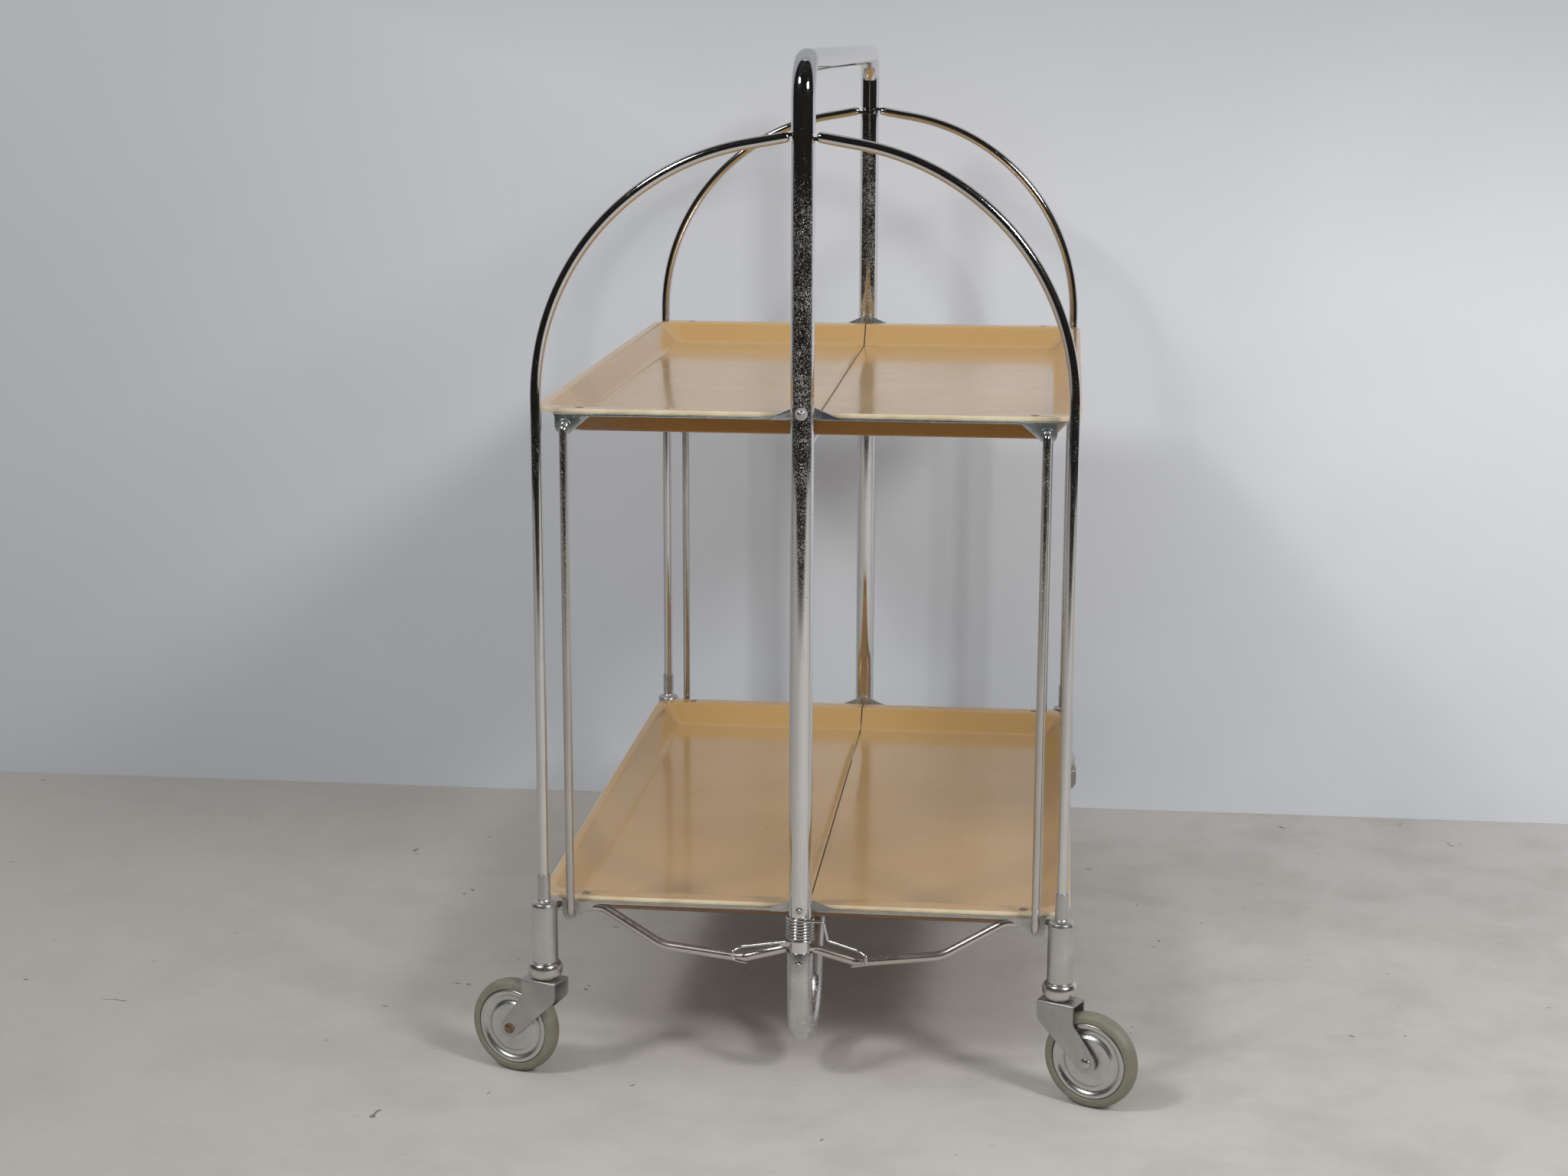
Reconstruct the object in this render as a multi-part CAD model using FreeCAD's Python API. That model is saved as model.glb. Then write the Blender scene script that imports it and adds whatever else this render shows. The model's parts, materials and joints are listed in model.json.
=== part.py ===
import FreeCAD, Part
import math
import os

# Folding tea trolley. Millimetres. Origin on the floor at the trolley's centre,
# +X across the two tray halves, +Y along the trays from one post to the other, +Z up.
# The trolley looks the same after half a turn about Z, so the near end is built
# and the far end is that end turned round.

# centre frame
post_spacing = 612.0
overall_height = 757.0
post_diameter = 17.0
post_wall = 1.5
handle_bend = 26.0
crossbar_diameter = 9.0
crossbar_wall = 1.2
crossbar_height = 477.0
lower_tube_diameter = 19.0
socket_top = 106.6
socket_depth = 33.5
skid_start = 72.5
skid_bend = 40.0
skid_rise_angle = 76.0
lower_bar_height = 101.0
lower_bar_bend = 38.0

# trays
upper_pivot_height = 506.0
lower_pivot_height = 140.0
tray_width = 394.0
tray_end_gap = 13.5
tray_depth = 17.5
tray_thickness = 3.2
rim_drop = 2.2
end_flange = 15.0
side_flange = 7.0
wall_run = 16.0
tray_corner = 24.0
floor_corner = 7.0
seam_gap = 1.0

# tray brackets
bracket_thickness = 1.6
bracket_inner_edge = 24.5
bracket_start = 12.6
bracket_overhang = 8.0
ear_thickness = 1.4
ear_gap = 0.3
pivot_eye_radius = 4.8
gusset_length = 23.0
ear_width = 27.0
ear_tip_radius = 6.5
screw_head_radius = 3.4
screw_radius = 1.9
screw_from_edge = 7.4
screw_inset = 9.0

# link rods
rod_diameter = 6.4
rod_inset = 18.8
rod_hole_drop = 14.0
rod_offset = 4.8
rod_bend = 3.6
rod_tail = 12.2
washer_radius = 5.5
washer_thickness = 0.8

# swinging leg gates
gate_radius = 190.8
arch_height = 697.5
arch_slope = 10.0
arch_bend = 183.0
leg_diameter = 8.0
leg_wall = 1.0
tube_start = 12.5
tube_cap = 2.0
tongue_thickness = 2.6
tongue_width = 6.0
tongue_eye_radius = 5.0
tongue_lap = 0.3
slot_half_height = 3.1
slot_open_angle = 29.0
slot_fold_angle = 99.0
post_seam_angle = -60.0  # on the uncut outer side, clear of slots and holes
hinge_pin_radius = 2.0
hinge_pin_length = 16.0
plug_length = 11.0
rail_diameter = 7.0
rail_wall = 1.0
rail_hinge_height = 110.2
rail_start_drop = 1.6
rail_dip_x = 43.0
rail_dip_height = 98.8
rail_dip_setback = 2.0
rail_kink_x = 104.0
rail_kink_height = 103.3
rail_kink_setback = 9.4
rail_rise_run = 40.8
rail_end_height = 128.5
rail_setback = 17.0
rail_hook = 5.0
rail_bend = 30.0
rail_rise_bend = 16.0
rail_hook_bend = 8.0

# leg sleeves and caster sockets
sleeve_radius = 9.7
sleeve_wall = 1.5
sleeve_bottom = 91.0
sleeve_shoulder = 134.5
sleeve_dome = 3.8
neck_radius = 4.75
neck_top = 158.5
leg_seat = 128.0
socket_collar_radius = 13.0
socket_collar_bottom = 79.0
socket_plug_gap = 4.0
stem_ring_height = 113.0

# casters
wheel_radius = 36.0
caster_trail = 26.5
tyre_width = 13.0
tyre_inner_radius = 25.5
tyre_shoulder = 2.8
tyre_lip = 1.2
rim_radius = 28.6
rim_sheet = 1.0
rim_trough = 1.8
rim_trough_radius = 21.5
rim_trough_width = 3.0
rim_trough_slope = 2.3
rim_roll = 0.7
rim_inset = 0.3
hub_radius = 5.5
axle_radius = 2.5
axle_head_radius = 4.1
axle_head = 1.6
fork_top = 77.5
fork_sheet = 1.8
fork_gap = 17.0
fork_back = 13.5
fork_front = 15.5
fork_skirt = 12.0
fork_eye_radius = 7.5
fork_front_angle = 37.0
fork_back_angle = 223.0
stem_radius = 4.0
stem_flange_radius = 8.0
stem_flange = 1.2
spigot_radius = 3.0

# where each caster's wheel trails, in degrees from +X
trail_angles = {"near_right": -25.0, "near_left": 160.0, "far_left": 155.0, "far_right": 182.0}

# gate springs
spring_wire = 2.0
spring_coil_radius = 9.8
spring_turns = 7
spring_pitch = 2.35
spring_bottom = 115.4
spring_gap = 0.5
spring_arm = 18.5
spring_arm_lean = 3.0
spring_arm_bend = 3.0
spring_leg_bend = 10.0
spring_hook_bend = 8.0
spring_tip_bend = 2.5

# rivets
rivet_radius = 1.6
rivet_head_radius = 2.6
rivet_head = 0.9
rivet_tail = 0.8
frame_rivet_height = 98.8

# clearances
running_fit = 0.05
seat_fit = 0.05
side_play = 0.3

half_span = post_spacing / 2
post_radius = post_diameter / 2
post_bore = post_radius - post_wall
tray_half_length = half_span - tray_end_gap
ear_layer_a = post_radius + ear_gap
ear_layer_b = ear_layer_a + ear_thickness + ear_gap
rod_position = gate_radius - rod_inset
bracket_end = rod_position + bracket_overhang
screw_position = rod_position - screw_inset
rail_rise_x = gate_radius - rail_rise_run
origin = FreeCAD.Vector(0, 0, 0)
x_axis = FreeCAD.Vector(1, 0, 0)
y_axis = FreeCAD.Vector(0, 1, 0)
z_axis = FreeCAD.Vector(0, 0, 1)

os.makedirs("parts", exist_ok=True)


def point(x, y, z):
    return FreeCAD.Vector(x, y, z)


def moved(shape, x=0, y=0, z=0):
    copy = shape.copy()
    copy.translate(point(x, y, z))
    return copy


def turned_round(shape, angle=180.0):
    copy = shape.copy()
    copy.rotate(origin, z_axis, angle)
    return copy


def mirrored(shape):
    return shape.mirror(origin, x_axis)


def near_end(shape):
    """Move a shape built about a post's axis to the near post."""
    return moved(shape, 0, -half_span, 0)


def rod(radius, start, end):
    direction = end - start
    return Part.makeCylinder(radius, direction.Length, start, direction)


def fused(shapes):
    return shapes[0].multiFuse(shapes[1:]).removeSplitter()


def box(x0, x1, y0, y1, z0, z1):
    return Part.makeBox(x1 - x0, y1 - y0, z1 - z0, point(x0, y0, z0))


def outline(start, steps, place):
    """Closed wire. A step is an end point, or a middle and an end point for an arc."""
    edges = []
    here = start
    for step in list(steps) + [start]:
        if isinstance(step[0], tuple):
            middle, end = step
            edges.append(Part.Arc(place(*here), place(*middle), place(*end)).toShape())
        else:
            end = step
            if math.dist(here, end) > 1e-6:
                edges.append(Part.LineSegment(place(*here), place(*end)).toShape())
        here = end
    return Part.Wire(edges)


def turned(start, steps):
    """Solid of revolution about Z from an outline of (radius, height) points."""
    wire = outline(start, steps, lambda r, z: point(r, 0, z))
    return Part.Face(wire).revolve(origin, z_axis, 360)


def plate(start, steps, y0, y1):
    """Flat plate with its outline in XZ, between two Y planes."""
    wire = outline(start, steps, lambda x, z: point(x, y0, z))
    return Part.Face(wire).extrude(point(0, y1 - y0, 0))


def bent_path(start, heading, steps, place):
    """Edges of a bent tube's axis: straight lengths and (radius, turn) bends in one plane."""
    edges = []
    u, v = start
    angle = math.radians(heading)
    for step in steps:
        if isinstance(step, tuple):
            radius, turn = step[0], math.radians(step[1])
            side = math.copysign(1, turn)
            cu = u - side * radius * math.sin(angle)
            cv = v + side * radius * math.cos(angle)
            ends = []
            for part in (0.5, 1.0):
                a = angle + turn * part
                ends.append((cu + side * radius * math.sin(a), cv - side * radius * math.cos(a)))
            edges.append(Part.Arc(place(u, v), place(*ends[0]), place(*ends[1])).toShape())
            u, v = ends[1]
            angle += turn
        else:
            u2, v2 = u + step * math.cos(angle), v + step * math.sin(angle)
            edges.append(Part.LineSegment(place(u, v), place(u2, v2)).toShape())
            u, v = u2, v2
    return Part.Wire(edges)


def rounded_path(points, radii):
    """Axis through points in space with an arc of the given radius at each inner point."""
    edges = []
    here = points[0]
    for before, corner, after, radius in zip(points, points[1:], points[2:], radii):
        a = (before - corner).normalize()
        b = (after - corner).normalize()
        half_angle = a.getAngle(b) / 2
        reach = radius / math.tan(half_angle)
        middle = (a + b).normalize() * (radius / math.sin(half_angle) - radius)
        edges.append(Part.LineSegment(here, corner + a * reach).toShape())
        arc = Part.Arc(corner + a * reach, corner + middle, corner + b * reach)
        edges.append(arc.toShape())
        here = corner + b * reach
    edges.append(Part.LineSegment(here, points[-1]).toShape())
    return Part.Wire(edges)


def path_start(path):
    first = path.Edges[0]
    return first.firstVertex().Point, first.tangentAt(first.FirstParameter)


def swept(path, radius, seam=0.0):
    ring = Part.Wire(Part.makeCircle(radius, *path_start(path)))
    ring.rotate(*path_start(path), seam)
    return path.makePipeShell([ring], True, False)


def start_cap(path, radius):
    """Solid plug in the first stretch of a tube."""
    start, direction = path_start(path)
    return Part.makeCylinder(radius, tube_cap, start, direction)


def tube(path, outer, inner, seam=0.0):
    return swept(path, outer, seam).cut(swept(path, inner, seam))


def frame_plane(y, z):
    return point(0, y, z)


def end_plane(x, z):
    return point(x, 0, z)


# ---- centre frame

def handle_frame():
    bottom = socket_top - socket_depth
    lengths = post_lengths(bottom, overall_height - post_radius - handle_bend)
    corner = (handle_bend, -90)
    steps = [*lengths, corner, post_spacing - 2 * handle_bend, corner, *reversed(lengths)]
    path = bent_path((-half_span, bottom), 90, steps, frame_plane)
    frame = tube(path, post_radius, post_bore, post_seam_angle)
    cuts = []
    for height in (arch_height, rail_hinge_height):
        slot = hinge_slot(height)
        cuts += [slot, mirrored(slot)]
    for height in (upper_pivot_height, lower_pivot_height):
        cuts.append(cross_hole(height))
    cuts.append(cross_hole(frame_rivet_height))
    for cut in cuts:
        frame = frame.cut(near_end(cut)).cut(turned_round(near_end(cut)))
    return frame


def post_lengths(bottom, top):
    """Runs of one post, parted halfway between its cuts so that each face holds one of them."""
    cuts = [frame_rivet_height, rail_hinge_height, lower_pivot_height, upper_pivot_height, arch_height]
    joins = [bottom, *[(low + high) / 2 for low, high in zip(cuts, cuts[1:])], top]
    return [high - low for low, high in zip(joins, joins[1:])]


def hinge_slot(height):
    """Sector through the post wall that lets a gate's tongue swing inboard."""
    sector = Part.makeCylinder(
        post_radius + 2, 2 * slot_half_height, point(0, 0, height - slot_half_height),
        z_axis, slot_open_angle + slot_fold_angle)
    return turned_round(sector, -slot_open_angle)


def cross_hole(height, radius=rivet_radius + running_fit, reach=lower_tube_diameter):
    return rod(radius, point(0, -reach, height), point(0, reach, height))


def lower_frame():
    path = bent_path((-half_span, socket_top), -90, lower_frame_steps(), frame_plane)
    outer = lower_tube_diameter / 2
    frame = tube(path, outer, post_radius + seat_fit)
    hole = near_end(cross_hole(frame_rivet_height))
    return frame.cut(hole).cut(turned_round(hole))


def lower_frame_steps():
    rise = math.radians(skid_rise_angle)
    after_skid_y = -half_span + skid_bend * (1 + math.sin(rise))
    after_skid_z = skid_start - skid_bend * math.cos(rise)
    bend_climb = lower_bar_bend * (1 - math.cos(rise))
    slope = (lower_bar_height - after_skid_z - bend_climb) / math.sin(rise)
    bar_y = after_skid_y + slope * math.cos(rise) + lower_bar_bend * math.sin(rise)
    skid = (skid_bend, 90 + skid_rise_angle)
    level_off = (lower_bar_bend, -skid_rise_angle)
    upright = socket_top - skid_start
    return [upright, skid, slope, level_off, -2 * bar_y, level_off, slope, skid, upright]


def upper_crossbar():
    start, end = point(0, -half_span, crossbar_height), point(0, half_span, crossbar_height)
    outer = crossbar_diameter / 2
    bar = rod(outer, start, end).cut(rod(outer - crossbar_wall, start, end))
    post = near_end(Part.makeCylinder(post_radius, overall_height))
    return bar.cut(post).cut(turned_round(post))


def rivet(height, front, back, shaft=rivet_radius):
    """Rivet along Y with a domed head at the front and a flat peened head at the back."""
    wide = rivet_head_radius
    dome = turned((0, 0), [
        (wide, 0), (wide, rivet_head * 0.4), ((wide * 0.8, rivet_head * 0.75), (wide * 0.55, rivet_head)),
        ((wide * 0.35, rivet_head * 1.45), (wide * 0.12, rivet_head * 1.6)), (0, rivet_head * 1.6)])
    dome.rotate(origin, x_axis, 90)
    body = rod(shaft, point(0, front, 0), point(0, back, 0))
    tail = rod(wide, point(0, back, 0), point(0, back + rivet_tail, 0))
    return moved(fused([moved(dome, 0, front, 0), body, tail]), 0, 0, height)


def both_ends(shapes):
    placed = [near_end(shape) for shape in shapes]
    return Part.makeCompound(placed + [turned_round(shape) for shape in placed])


def frame_rivets():
    edge = lower_tube_diameter / 2
    return both_ends([rivet(frame_rivet_height, -edge, edge)])


def tray_pivot_pins():
    back = ear_layer_b + ear_thickness + ear_gap
    heights = (upper_pivot_height, lower_pivot_height)
    return both_ends([rivet(height, -post_radius, back) for height in heights])


def hinge_pin(height, clearance=0.0):
    pin = Part.makeCylinder(hinge_pin_radius + clearance, hinge_pin_length)
    return moved(pin, 0, 0, height - hinge_pin_length / 2)


def gate_hinge_pins():
    return both_ends([hinge_pin(height) for height in (arch_height, rail_hinge_height)])


def hinge_plugs():
    plugs = []
    lap = tongue_lap / 2 + tongue_thickness + side_play
    for height in (arch_height, rail_hinge_height):
        for bottom in (height + lap, height - lap - plug_length):
            plug = Part.makeCylinder(post_bore - seat_fit, plug_length, point(0, 0, bottom))
            plug = plug.cut(hinge_pin(height, running_fit))
            plugs.append(plug.cut(cross_hole(frame_rivet_height)))
    return both_ends(plugs)


# ---- trays

def rounded_rectangle(half_x, half_y, radius, z):
    def place(x, y):
        return point(x, y, z)
    bow = radius * (1 - math.sqrt(0.5))
    steps = []
    for sx, sy in ((1, 1), (-1, 1), (-1, -1), (1, -1)):
        first = (sx * half_x, sy * (half_y - radius))
        last = (sx * (half_x - radius), sy * half_y)
        if sx * sy < 0:
            first, last = last, first
        steps += [first, ((sx * (half_x - bow), sy * (half_y - bow)), last)]
    return outline((half_x, half_y - radius), steps[1:], place)


def basin(top, bottom, spread, radius):
    """Sloping block between two levels; spread moves its walls outwards."""
    wires = []
    for level in (top, bottom):
        shift = spread - wall_run * -level / tray_depth
        wires.append(rounded_rectangle(tray_width / 2 - side_flange + shift,
                                       tray_half_length - end_flange + shift, radius, level))
    return Part.makeLoft(wires, True, True)


def level_edges(shape, level):
    edges = []
    for edge in shape.Edges:
        bounds = edge.BoundBox
        if abs(bounds.ZMin - level) < 1e-4 and abs(bounds.ZMax - level) < 1e-4:
            edges.append(edge)
    return edges


def full_tray():
    slope = math.atan2(tray_depth, wall_run)
    spread = tray_thickness / math.sin(slope)
    inner_corner = tray_corner - side_flange
    rim = Part.Face(rounded_rectangle(tray_width / 2, tray_half_length, tray_corner, 0))
    rim = rim.extrude(point(0, 0, -tray_thickness))
    hollow = basin(0, -tray_depth, 0, inner_corner)
    hollow = hollow.makeFillet(floor_corner, level_edges(hollow, -tray_depth))
    underside = -tray_depth - tray_thickness
    shell = basin(0, underside, spread, inner_corner + spread)
    shell = shell.makeFillet(floor_corner + tray_thickness, level_edges(shell, underside))
    return rim.fuse(shell).cut(hollow).removeSplitter()


def tray_half(pivot_height):
    """The half on the +X side, with its screw holes."""
    tray = moved(full_tray(), 0, 0, pivot_height - rim_drop)
    half = tray.common(box(seam_gap / 2, tray_width, -post_spacing, post_spacing, 0, overall_height))
    for y in screw_rows():
        x, z = screw_position, pivot_height - rim_drop
        half = half.cut(moved(screw_cutter(), x, y, z))
    return half


def screw_rows():
    y = tray_half_length - screw_from_edge
    return (-y, y)


def screw_cutter():
    return turned((0, 1), [(screw_head_radius + running_fit, 1), (screw_head_radius + running_fit, 0),
                           (screw_radius + running_fit, -1.5), (screw_radius + running_fit, -20), (0, -20)])


def tray_screws(pivot_height):
    tip = -tray_thickness - bracket_thickness
    screw = turned((0, 0.25), [(screw_head_radius * 0.6, 0.25), (screw_head_radius, 0),
                               (screw_radius, -1.5), (screw_radius, tip), (0, tip)])
    return Part.makeCompound([moved(screw, screw_position, y, pivot_height - rim_drop) for y in screw_rows()])


def bracket(layer):
    """Strip, pivot ear and rod ear of one tray half's near end, about the near post's pivot."""
    top = -rim_drop - tray_thickness
    bottom = top - bracket_thickness
    edge = ear_layer_a + ear_thickness
    strip = box(bracket_start, bracket_end, edge, bracket_inner_edge, bottom, top)
    eye = pivot_eye_radius
    tip = (1.2, math.sqrt(eye ** 2 - 1.2 ** 2))
    gusset = plate((bracket_start, bottom),
                   [(gusset_length, bottom), (gusset_length + 2, top), tip, ((-eye, 0), (0, -eye))],
                   layer, layer + ear_thickness)
    if layer < edge:
        strip = strip.fuse(box(bracket_start, gusset_length, layer, edge + 1, bottom, top))
    gusset = gusset.cut(rod(rivet_radius + running_fit, point(0, 0, 0), point(0, post_spacing, 0)))
    pieces = [strip, gusset, rod_ear(bottom)]
    piece = fused(pieces).cut(rod(rod_diameter / 2 + running_fit, point(rod_position, 0, -rod_hole_drop),
                                  point(rod_position, bracket_inner_edge, -rod_hole_drop)))
    hole = rod(screw_radius + running_fit, point(0, 0, bottom - 1), point(0, 0, top + 1))
    return piece.cut(moved(hole, screw_position, tray_end_gap + screw_from_edge, 0))


def rod_ear(bottom):
    """Web bent down from the strip, with a raised ring round the rod's hole."""
    outer = rod_position + ear_tip_radius + 0.5
    inner = outer - ear_width
    r = ear_tip_radius
    lean = math.radians(48)
    web = plate((inner, bottom + bracket_thickness),
                [(outer, bottom + bracket_thickness), (outer, -rod_hole_drop + 1),
                 ((rod_position + r * 0.72, -rod_hole_drop - r * 0.72), (rod_position, -rod_hole_drop - r)),
                 ((rod_position - r * math.sin(lean / 2), -rod_hole_drop - r * math.cos(lean / 2)),
                  (rod_position - r * math.sin(lean), -rod_hole_drop - r * math.cos(lean)))],
                ear_layer_a, ear_layer_a + ear_thickness)
    back = ear_layer_a + ear_thickness
    corner = box(inner, outer, ear_layer_a, back + 1, bottom, bottom + bracket_thickness)
    ring = rod(rod_diameter / 2 + 1.8, point(rod_position, ear_layer_a - 0.4, -rod_hole_drop),
               point(rod_position, back, -rod_hole_drop))
    return fused([web, corner, ring])


def tray_brackets(pivot_height):
    """Both ends' brackets of the half on the +X side."""
    near = moved(near_end(bracket(ear_layer_b)), 0, 0, pivot_height)
    far = moved(turned_round(near_end(mirrored(bracket(ear_layer_a)))), 0, 0, pivot_height)
    return Part.makeCompound([near, far])


def link_rod():
    """Rod at the near end on the +X side, hooked through both trays' ears, with its washers."""
    top = upper_pivot_height - rod_hole_drop
    bottom = lower_pivot_height - rod_hole_drop
    side = rod_tail - rod_offset - rod_bend
    upright = top - bottom - 2 * rod_bend
    path = bent_path((rod_tail, top), 180, [side, (rod_bend, 90), upright, (rod_bend, 90), side],
                     lambda y, z: point(rod_position, y, z))
    rod_solid = swept(path, rod_diameter / 2)
    front = ear_layer_a + ear_thickness + ear_gap
    washers = []
    for z in (top, bottom):
        start = point(rod_position, front, z)
        end = point(rod_position, front + washer_thickness, z)
        washers.append(rod(washer_radius, start, end).cut(rod(rod_diameter / 2 + seat_fit, start, end)))
    return near_end(Part.makeCompound([rod_solid] + washers))


# ---- gates: arch leg, sleeve, rail and caster socket, about the near post's axis

def tongue(height, upper_lap):
    """Flattened tube end with the eye that turns on the hinge pin."""
    z0 = height + tongue_lap / 2 if upper_lap else height - tongue_lap / 2 - tongue_thickness
    half = tongue_width / 2
    blade = box(0, tube_start + tube_cap, -half, half, z0, z0 + tongue_thickness)
    eye = Part.makeCylinder(tongue_eye_radius, tongue_thickness, point(0, 0, z0))
    hole = Part.makeCylinder(hinge_pin_radius + running_fit, tongue_thickness, point(0, 0, z0))
    return blade.fuse(eye).cut(hole)


def arch_leg(upper_lap):
    slope = math.radians(arch_slope)
    run = gate_radius - tube_start - arch_bend * (1 - math.sin(slope))
    straight = run / math.cos(slope)
    drop = run * math.tan(slope) + arch_bend * math.cos(slope)
    steps = [straight, (arch_bend, arch_slope - 90), arch_height - drop - leg_seat - seat_fit]
    path = bent_path((tube_start, arch_height), -arch_slope, steps, end_plane)
    outer = leg_diameter / 2
    return fused([tube(path, outer, outer - leg_wall), start_cap(path, outer),
                  tongue(arch_height, upper_lap)])


def caster_sleeve():
    bore = sleeve_radius - sleeve_wall
    leg = leg_diameter / 2 + seat_fit
    dome_top = sleeve_shoulder + sleeve_dome
    body = turned((bore, sleeve_bottom), [
        (sleeve_radius, sleeve_bottom), (sleeve_radius, sleeve_shoulder),
        ((sleeve_radius * 0.86, sleeve_shoulder + sleeve_dome * 0.6), (neck_radius + 0.8, dome_top - 0.4)),
        (neck_radius, dome_top), (neck_radius, neck_top), (leg, neck_top), (leg, leg_seat),
        (bore, leg_seat - 2)])
    return moved(body, gate_radius, 0, 0)


def caster_socket():
    """Insert with a rounded collar that carries the caster's stem."""
    outer = sleeve_radius - sleeve_wall - seat_fit
    collar = socket_collar_radius
    lip = collar - 4
    middle = (sleeve_bottom + socket_collar_bottom) / 2
    top = leg_seat - socket_plug_gap
    bore = stem_radius + running_fit
    groove = bore + 0.9
    body = turned((bore, socket_collar_bottom), [
        (lip, socket_collar_bottom), ((collar, middle), (lip, sleeve_bottom)),
        (outer, sleeve_bottom), (outer, top), (0, top), (0, top - 3), (bore, top - 3),
        (bore, stem_ring_height + 1.5), (groove, stem_ring_height + 1.5), (groove, stem_ring_height - 1.5),
        (bore, stem_ring_height - 1.5)])
    return moved(body, gate_radius, 0, 0)


def rail_centres():
    """Axis of the gull-wing rail: out from the post, under the tray, up to the sleeve."""
    return [point(tube_start, 0, rail_hinge_height - rail_start_drop),
            point(rail_dip_x, rail_dip_setback, rail_dip_height),
            point(rail_kink_x, rail_kink_setback, rail_kink_height),
            point(rail_rise_x, rail_setback, rail_end_height),
            point(gate_radius - rail_hook, rail_setback, rail_end_height),
            point(gate_radius - rail_hook + 3, 0, rail_end_height)]


def lower_rail(upper_lap):
    path = rounded_path(rail_centres(), [rail_bend, rail_bend, rail_rise_bend, rail_hook_bend])
    outer = rail_diameter / 2
    rail = fused([tube(path, outer, outer - rail_wall), start_cap(path, outer),
                  tongue(rail_hinge_height, upper_lap)])
    sleeve = Part.makeCylinder(sleeve_radius, overall_height, point(gate_radius, 0, 0))
    return rail.cut(sleeve)


def spring_leg(start, side, bends, radii):
    """Wire from the coil that ends in a hook round the front of a rail's dip."""
    reach = rail_diameter / 2 + spring_wire / 2 + spring_gap
    front = rail_dip_setback - reach
    hook = [point(side * (rail_dip_x + 3), front, rail_dip_height + reach + 4),
            point(side * (rail_dip_x + 13), front + 0.6, rail_dip_height + 3),
            point(side * (rail_dip_x + 1), front + 0.8, rail_dip_height - reach + 1.5)]
    path = rounded_path([start] + bends + hook, radii + [spring_hook_bend, spring_tip_bend])
    end = Part.makeSphere(spring_wire / 2, hook[-1])
    return [swept(path, spring_wire / 2), end]


def gate_spring():
    """Torsion spring round the post; its two ends hook over the rails on either side."""
    wire = spring_wire / 2
    r = spring_coil_radius
    bottom = spring_bottom + wire
    top = bottom + spring_turns * spring_pitch
    helix = Part.makeHelix(spring_pitch, top - bottom, r)
    helix.rotate(origin, z_axis, -90)
    helix.translate(point(0, 0, bottom))
    ring = Part.Wire(Part.makeCircle(wire, point(0, -r, bottom), x_axis))
    coil = Part.Wire(helix.Edges).makePipeShell([ring], True, True)
    arm = [point(spring_arm, -r, top), point(spring_arm + spring_arm_lean, -r, bottom + 1)]
    low = spring_leg(point(0, -r, bottom), -1, [point(-r, -r, bottom)], [spring_leg_bend])
    high = spring_leg(point(0, -r, top), 1, arm, [spring_arm_bend, spring_arm_bend])
    return fused([coil] + low + high)


# ---- casters, about the swivel axis with the wheel trailing along +X

def on_eye(degrees):
    """Point on the rim of the fork's axle eye."""
    a = math.radians(degrees)
    return (caster_trail + fork_eye_radius * math.cos(a), wheel_radius + fork_eye_radius * math.sin(a))


def caster_fork():
    half = fork_gap / 2
    outer = half + fork_sheet
    top = box(-fork_back, fork_front, -outer, outer, fork_top - fork_sheet, fork_top)
    skirt = fork_top - fork_skirt
    cheeks = []
    for y in (-outer, half):
        cheeks.append(plate((-fork_back, fork_top), [
            (fork_front, fork_top), (fork_front, skirt),
            ((fork_front + 1.3, skirt - 4.5), (fork_front + 4.4, skirt - 8)), on_eye(fork_front_angle),
            (on_eye(fork_front_angle - 87), on_eye(fork_back_angle)), (4 - fork_back, skirt - 6),
            ((1 - fork_back, skirt - 2.6), (-fork_back, skirt))], y, y + fork_sheet))
    fork = fused([top] + cheeks)
    fork = fork.makeFillet(fork_sheet * 0.9, fork_top_edges(fork, outer))
    axle = rod(axle_radius + seat_fit, point(caster_trail, -post_spacing, wheel_radius),
               point(caster_trail, post_spacing, wheel_radius))
    spigot = Part.makeCylinder(spigot_radius + seat_fit, fork_top)
    return fork.cut(axle).cut(spigot)


def fork_top_edges(fork, outer):
    """The two bend lines between the fork's top and its cheeks."""
    edges = []
    for edge in fork.Edges:
        bounds = edge.BoundBox
        level = bounds.ZMin > fork_top - 1e-4
        outside = bounds.YLength < 1e-4 and abs(abs(bounds.YMin) - outer) < 1e-4
        if level and outside:
            edges.append(edge)
    return edges


def caster_stem():
    """Swivel stem with thrust flange, riveted into the fork, and its spring ring."""
    under = fork_top - fork_sheet
    flange_top = fork_top + stem_flange
    tip = leg_seat - 2 * socket_plug_gap
    groove = stem_radius - 0.8
    z = stem_ring_height
    stem = turned((0, under - 1.4), [
        (spigot_radius + 1.2, under - 1.4), (spigot_radius + 1.6, under), (spigot_radius, under),
        (spigot_radius, fork_top), (stem_flange_radius, fork_top), (stem_flange_radius, flange_top),
        (stem_radius, flange_top), (stem_radius, z - 1.1), (groove, z - 1.1), (groove, z + 1.1),
        (stem_radius, z + 1.1), (stem_radius, tip - 1), (stem_radius - 1, tip), (0, tip)])
    ring = Part.makeCylinder(stem_radius + 0.6, 1.6, point(0, 0, z - 0.8))
    ring = ring.cut(Part.makeCylinder(groove + seat_fit, 1.6, point(0, 0, z - 0.8)))
    return Part.makeCompound([stem, ring.cut(box(0, 9, -1.2, 1.2, z - 2, z + 2))])


def about_axle(shape):
    """Turn a wheel part from the Z axis onto the axle and raise it to the wheel's centre."""
    copy = shape.copy()
    copy.rotate(origin, x_axis, 90)
    return moved(copy, caster_trail, 0, wheel_radius)


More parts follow.
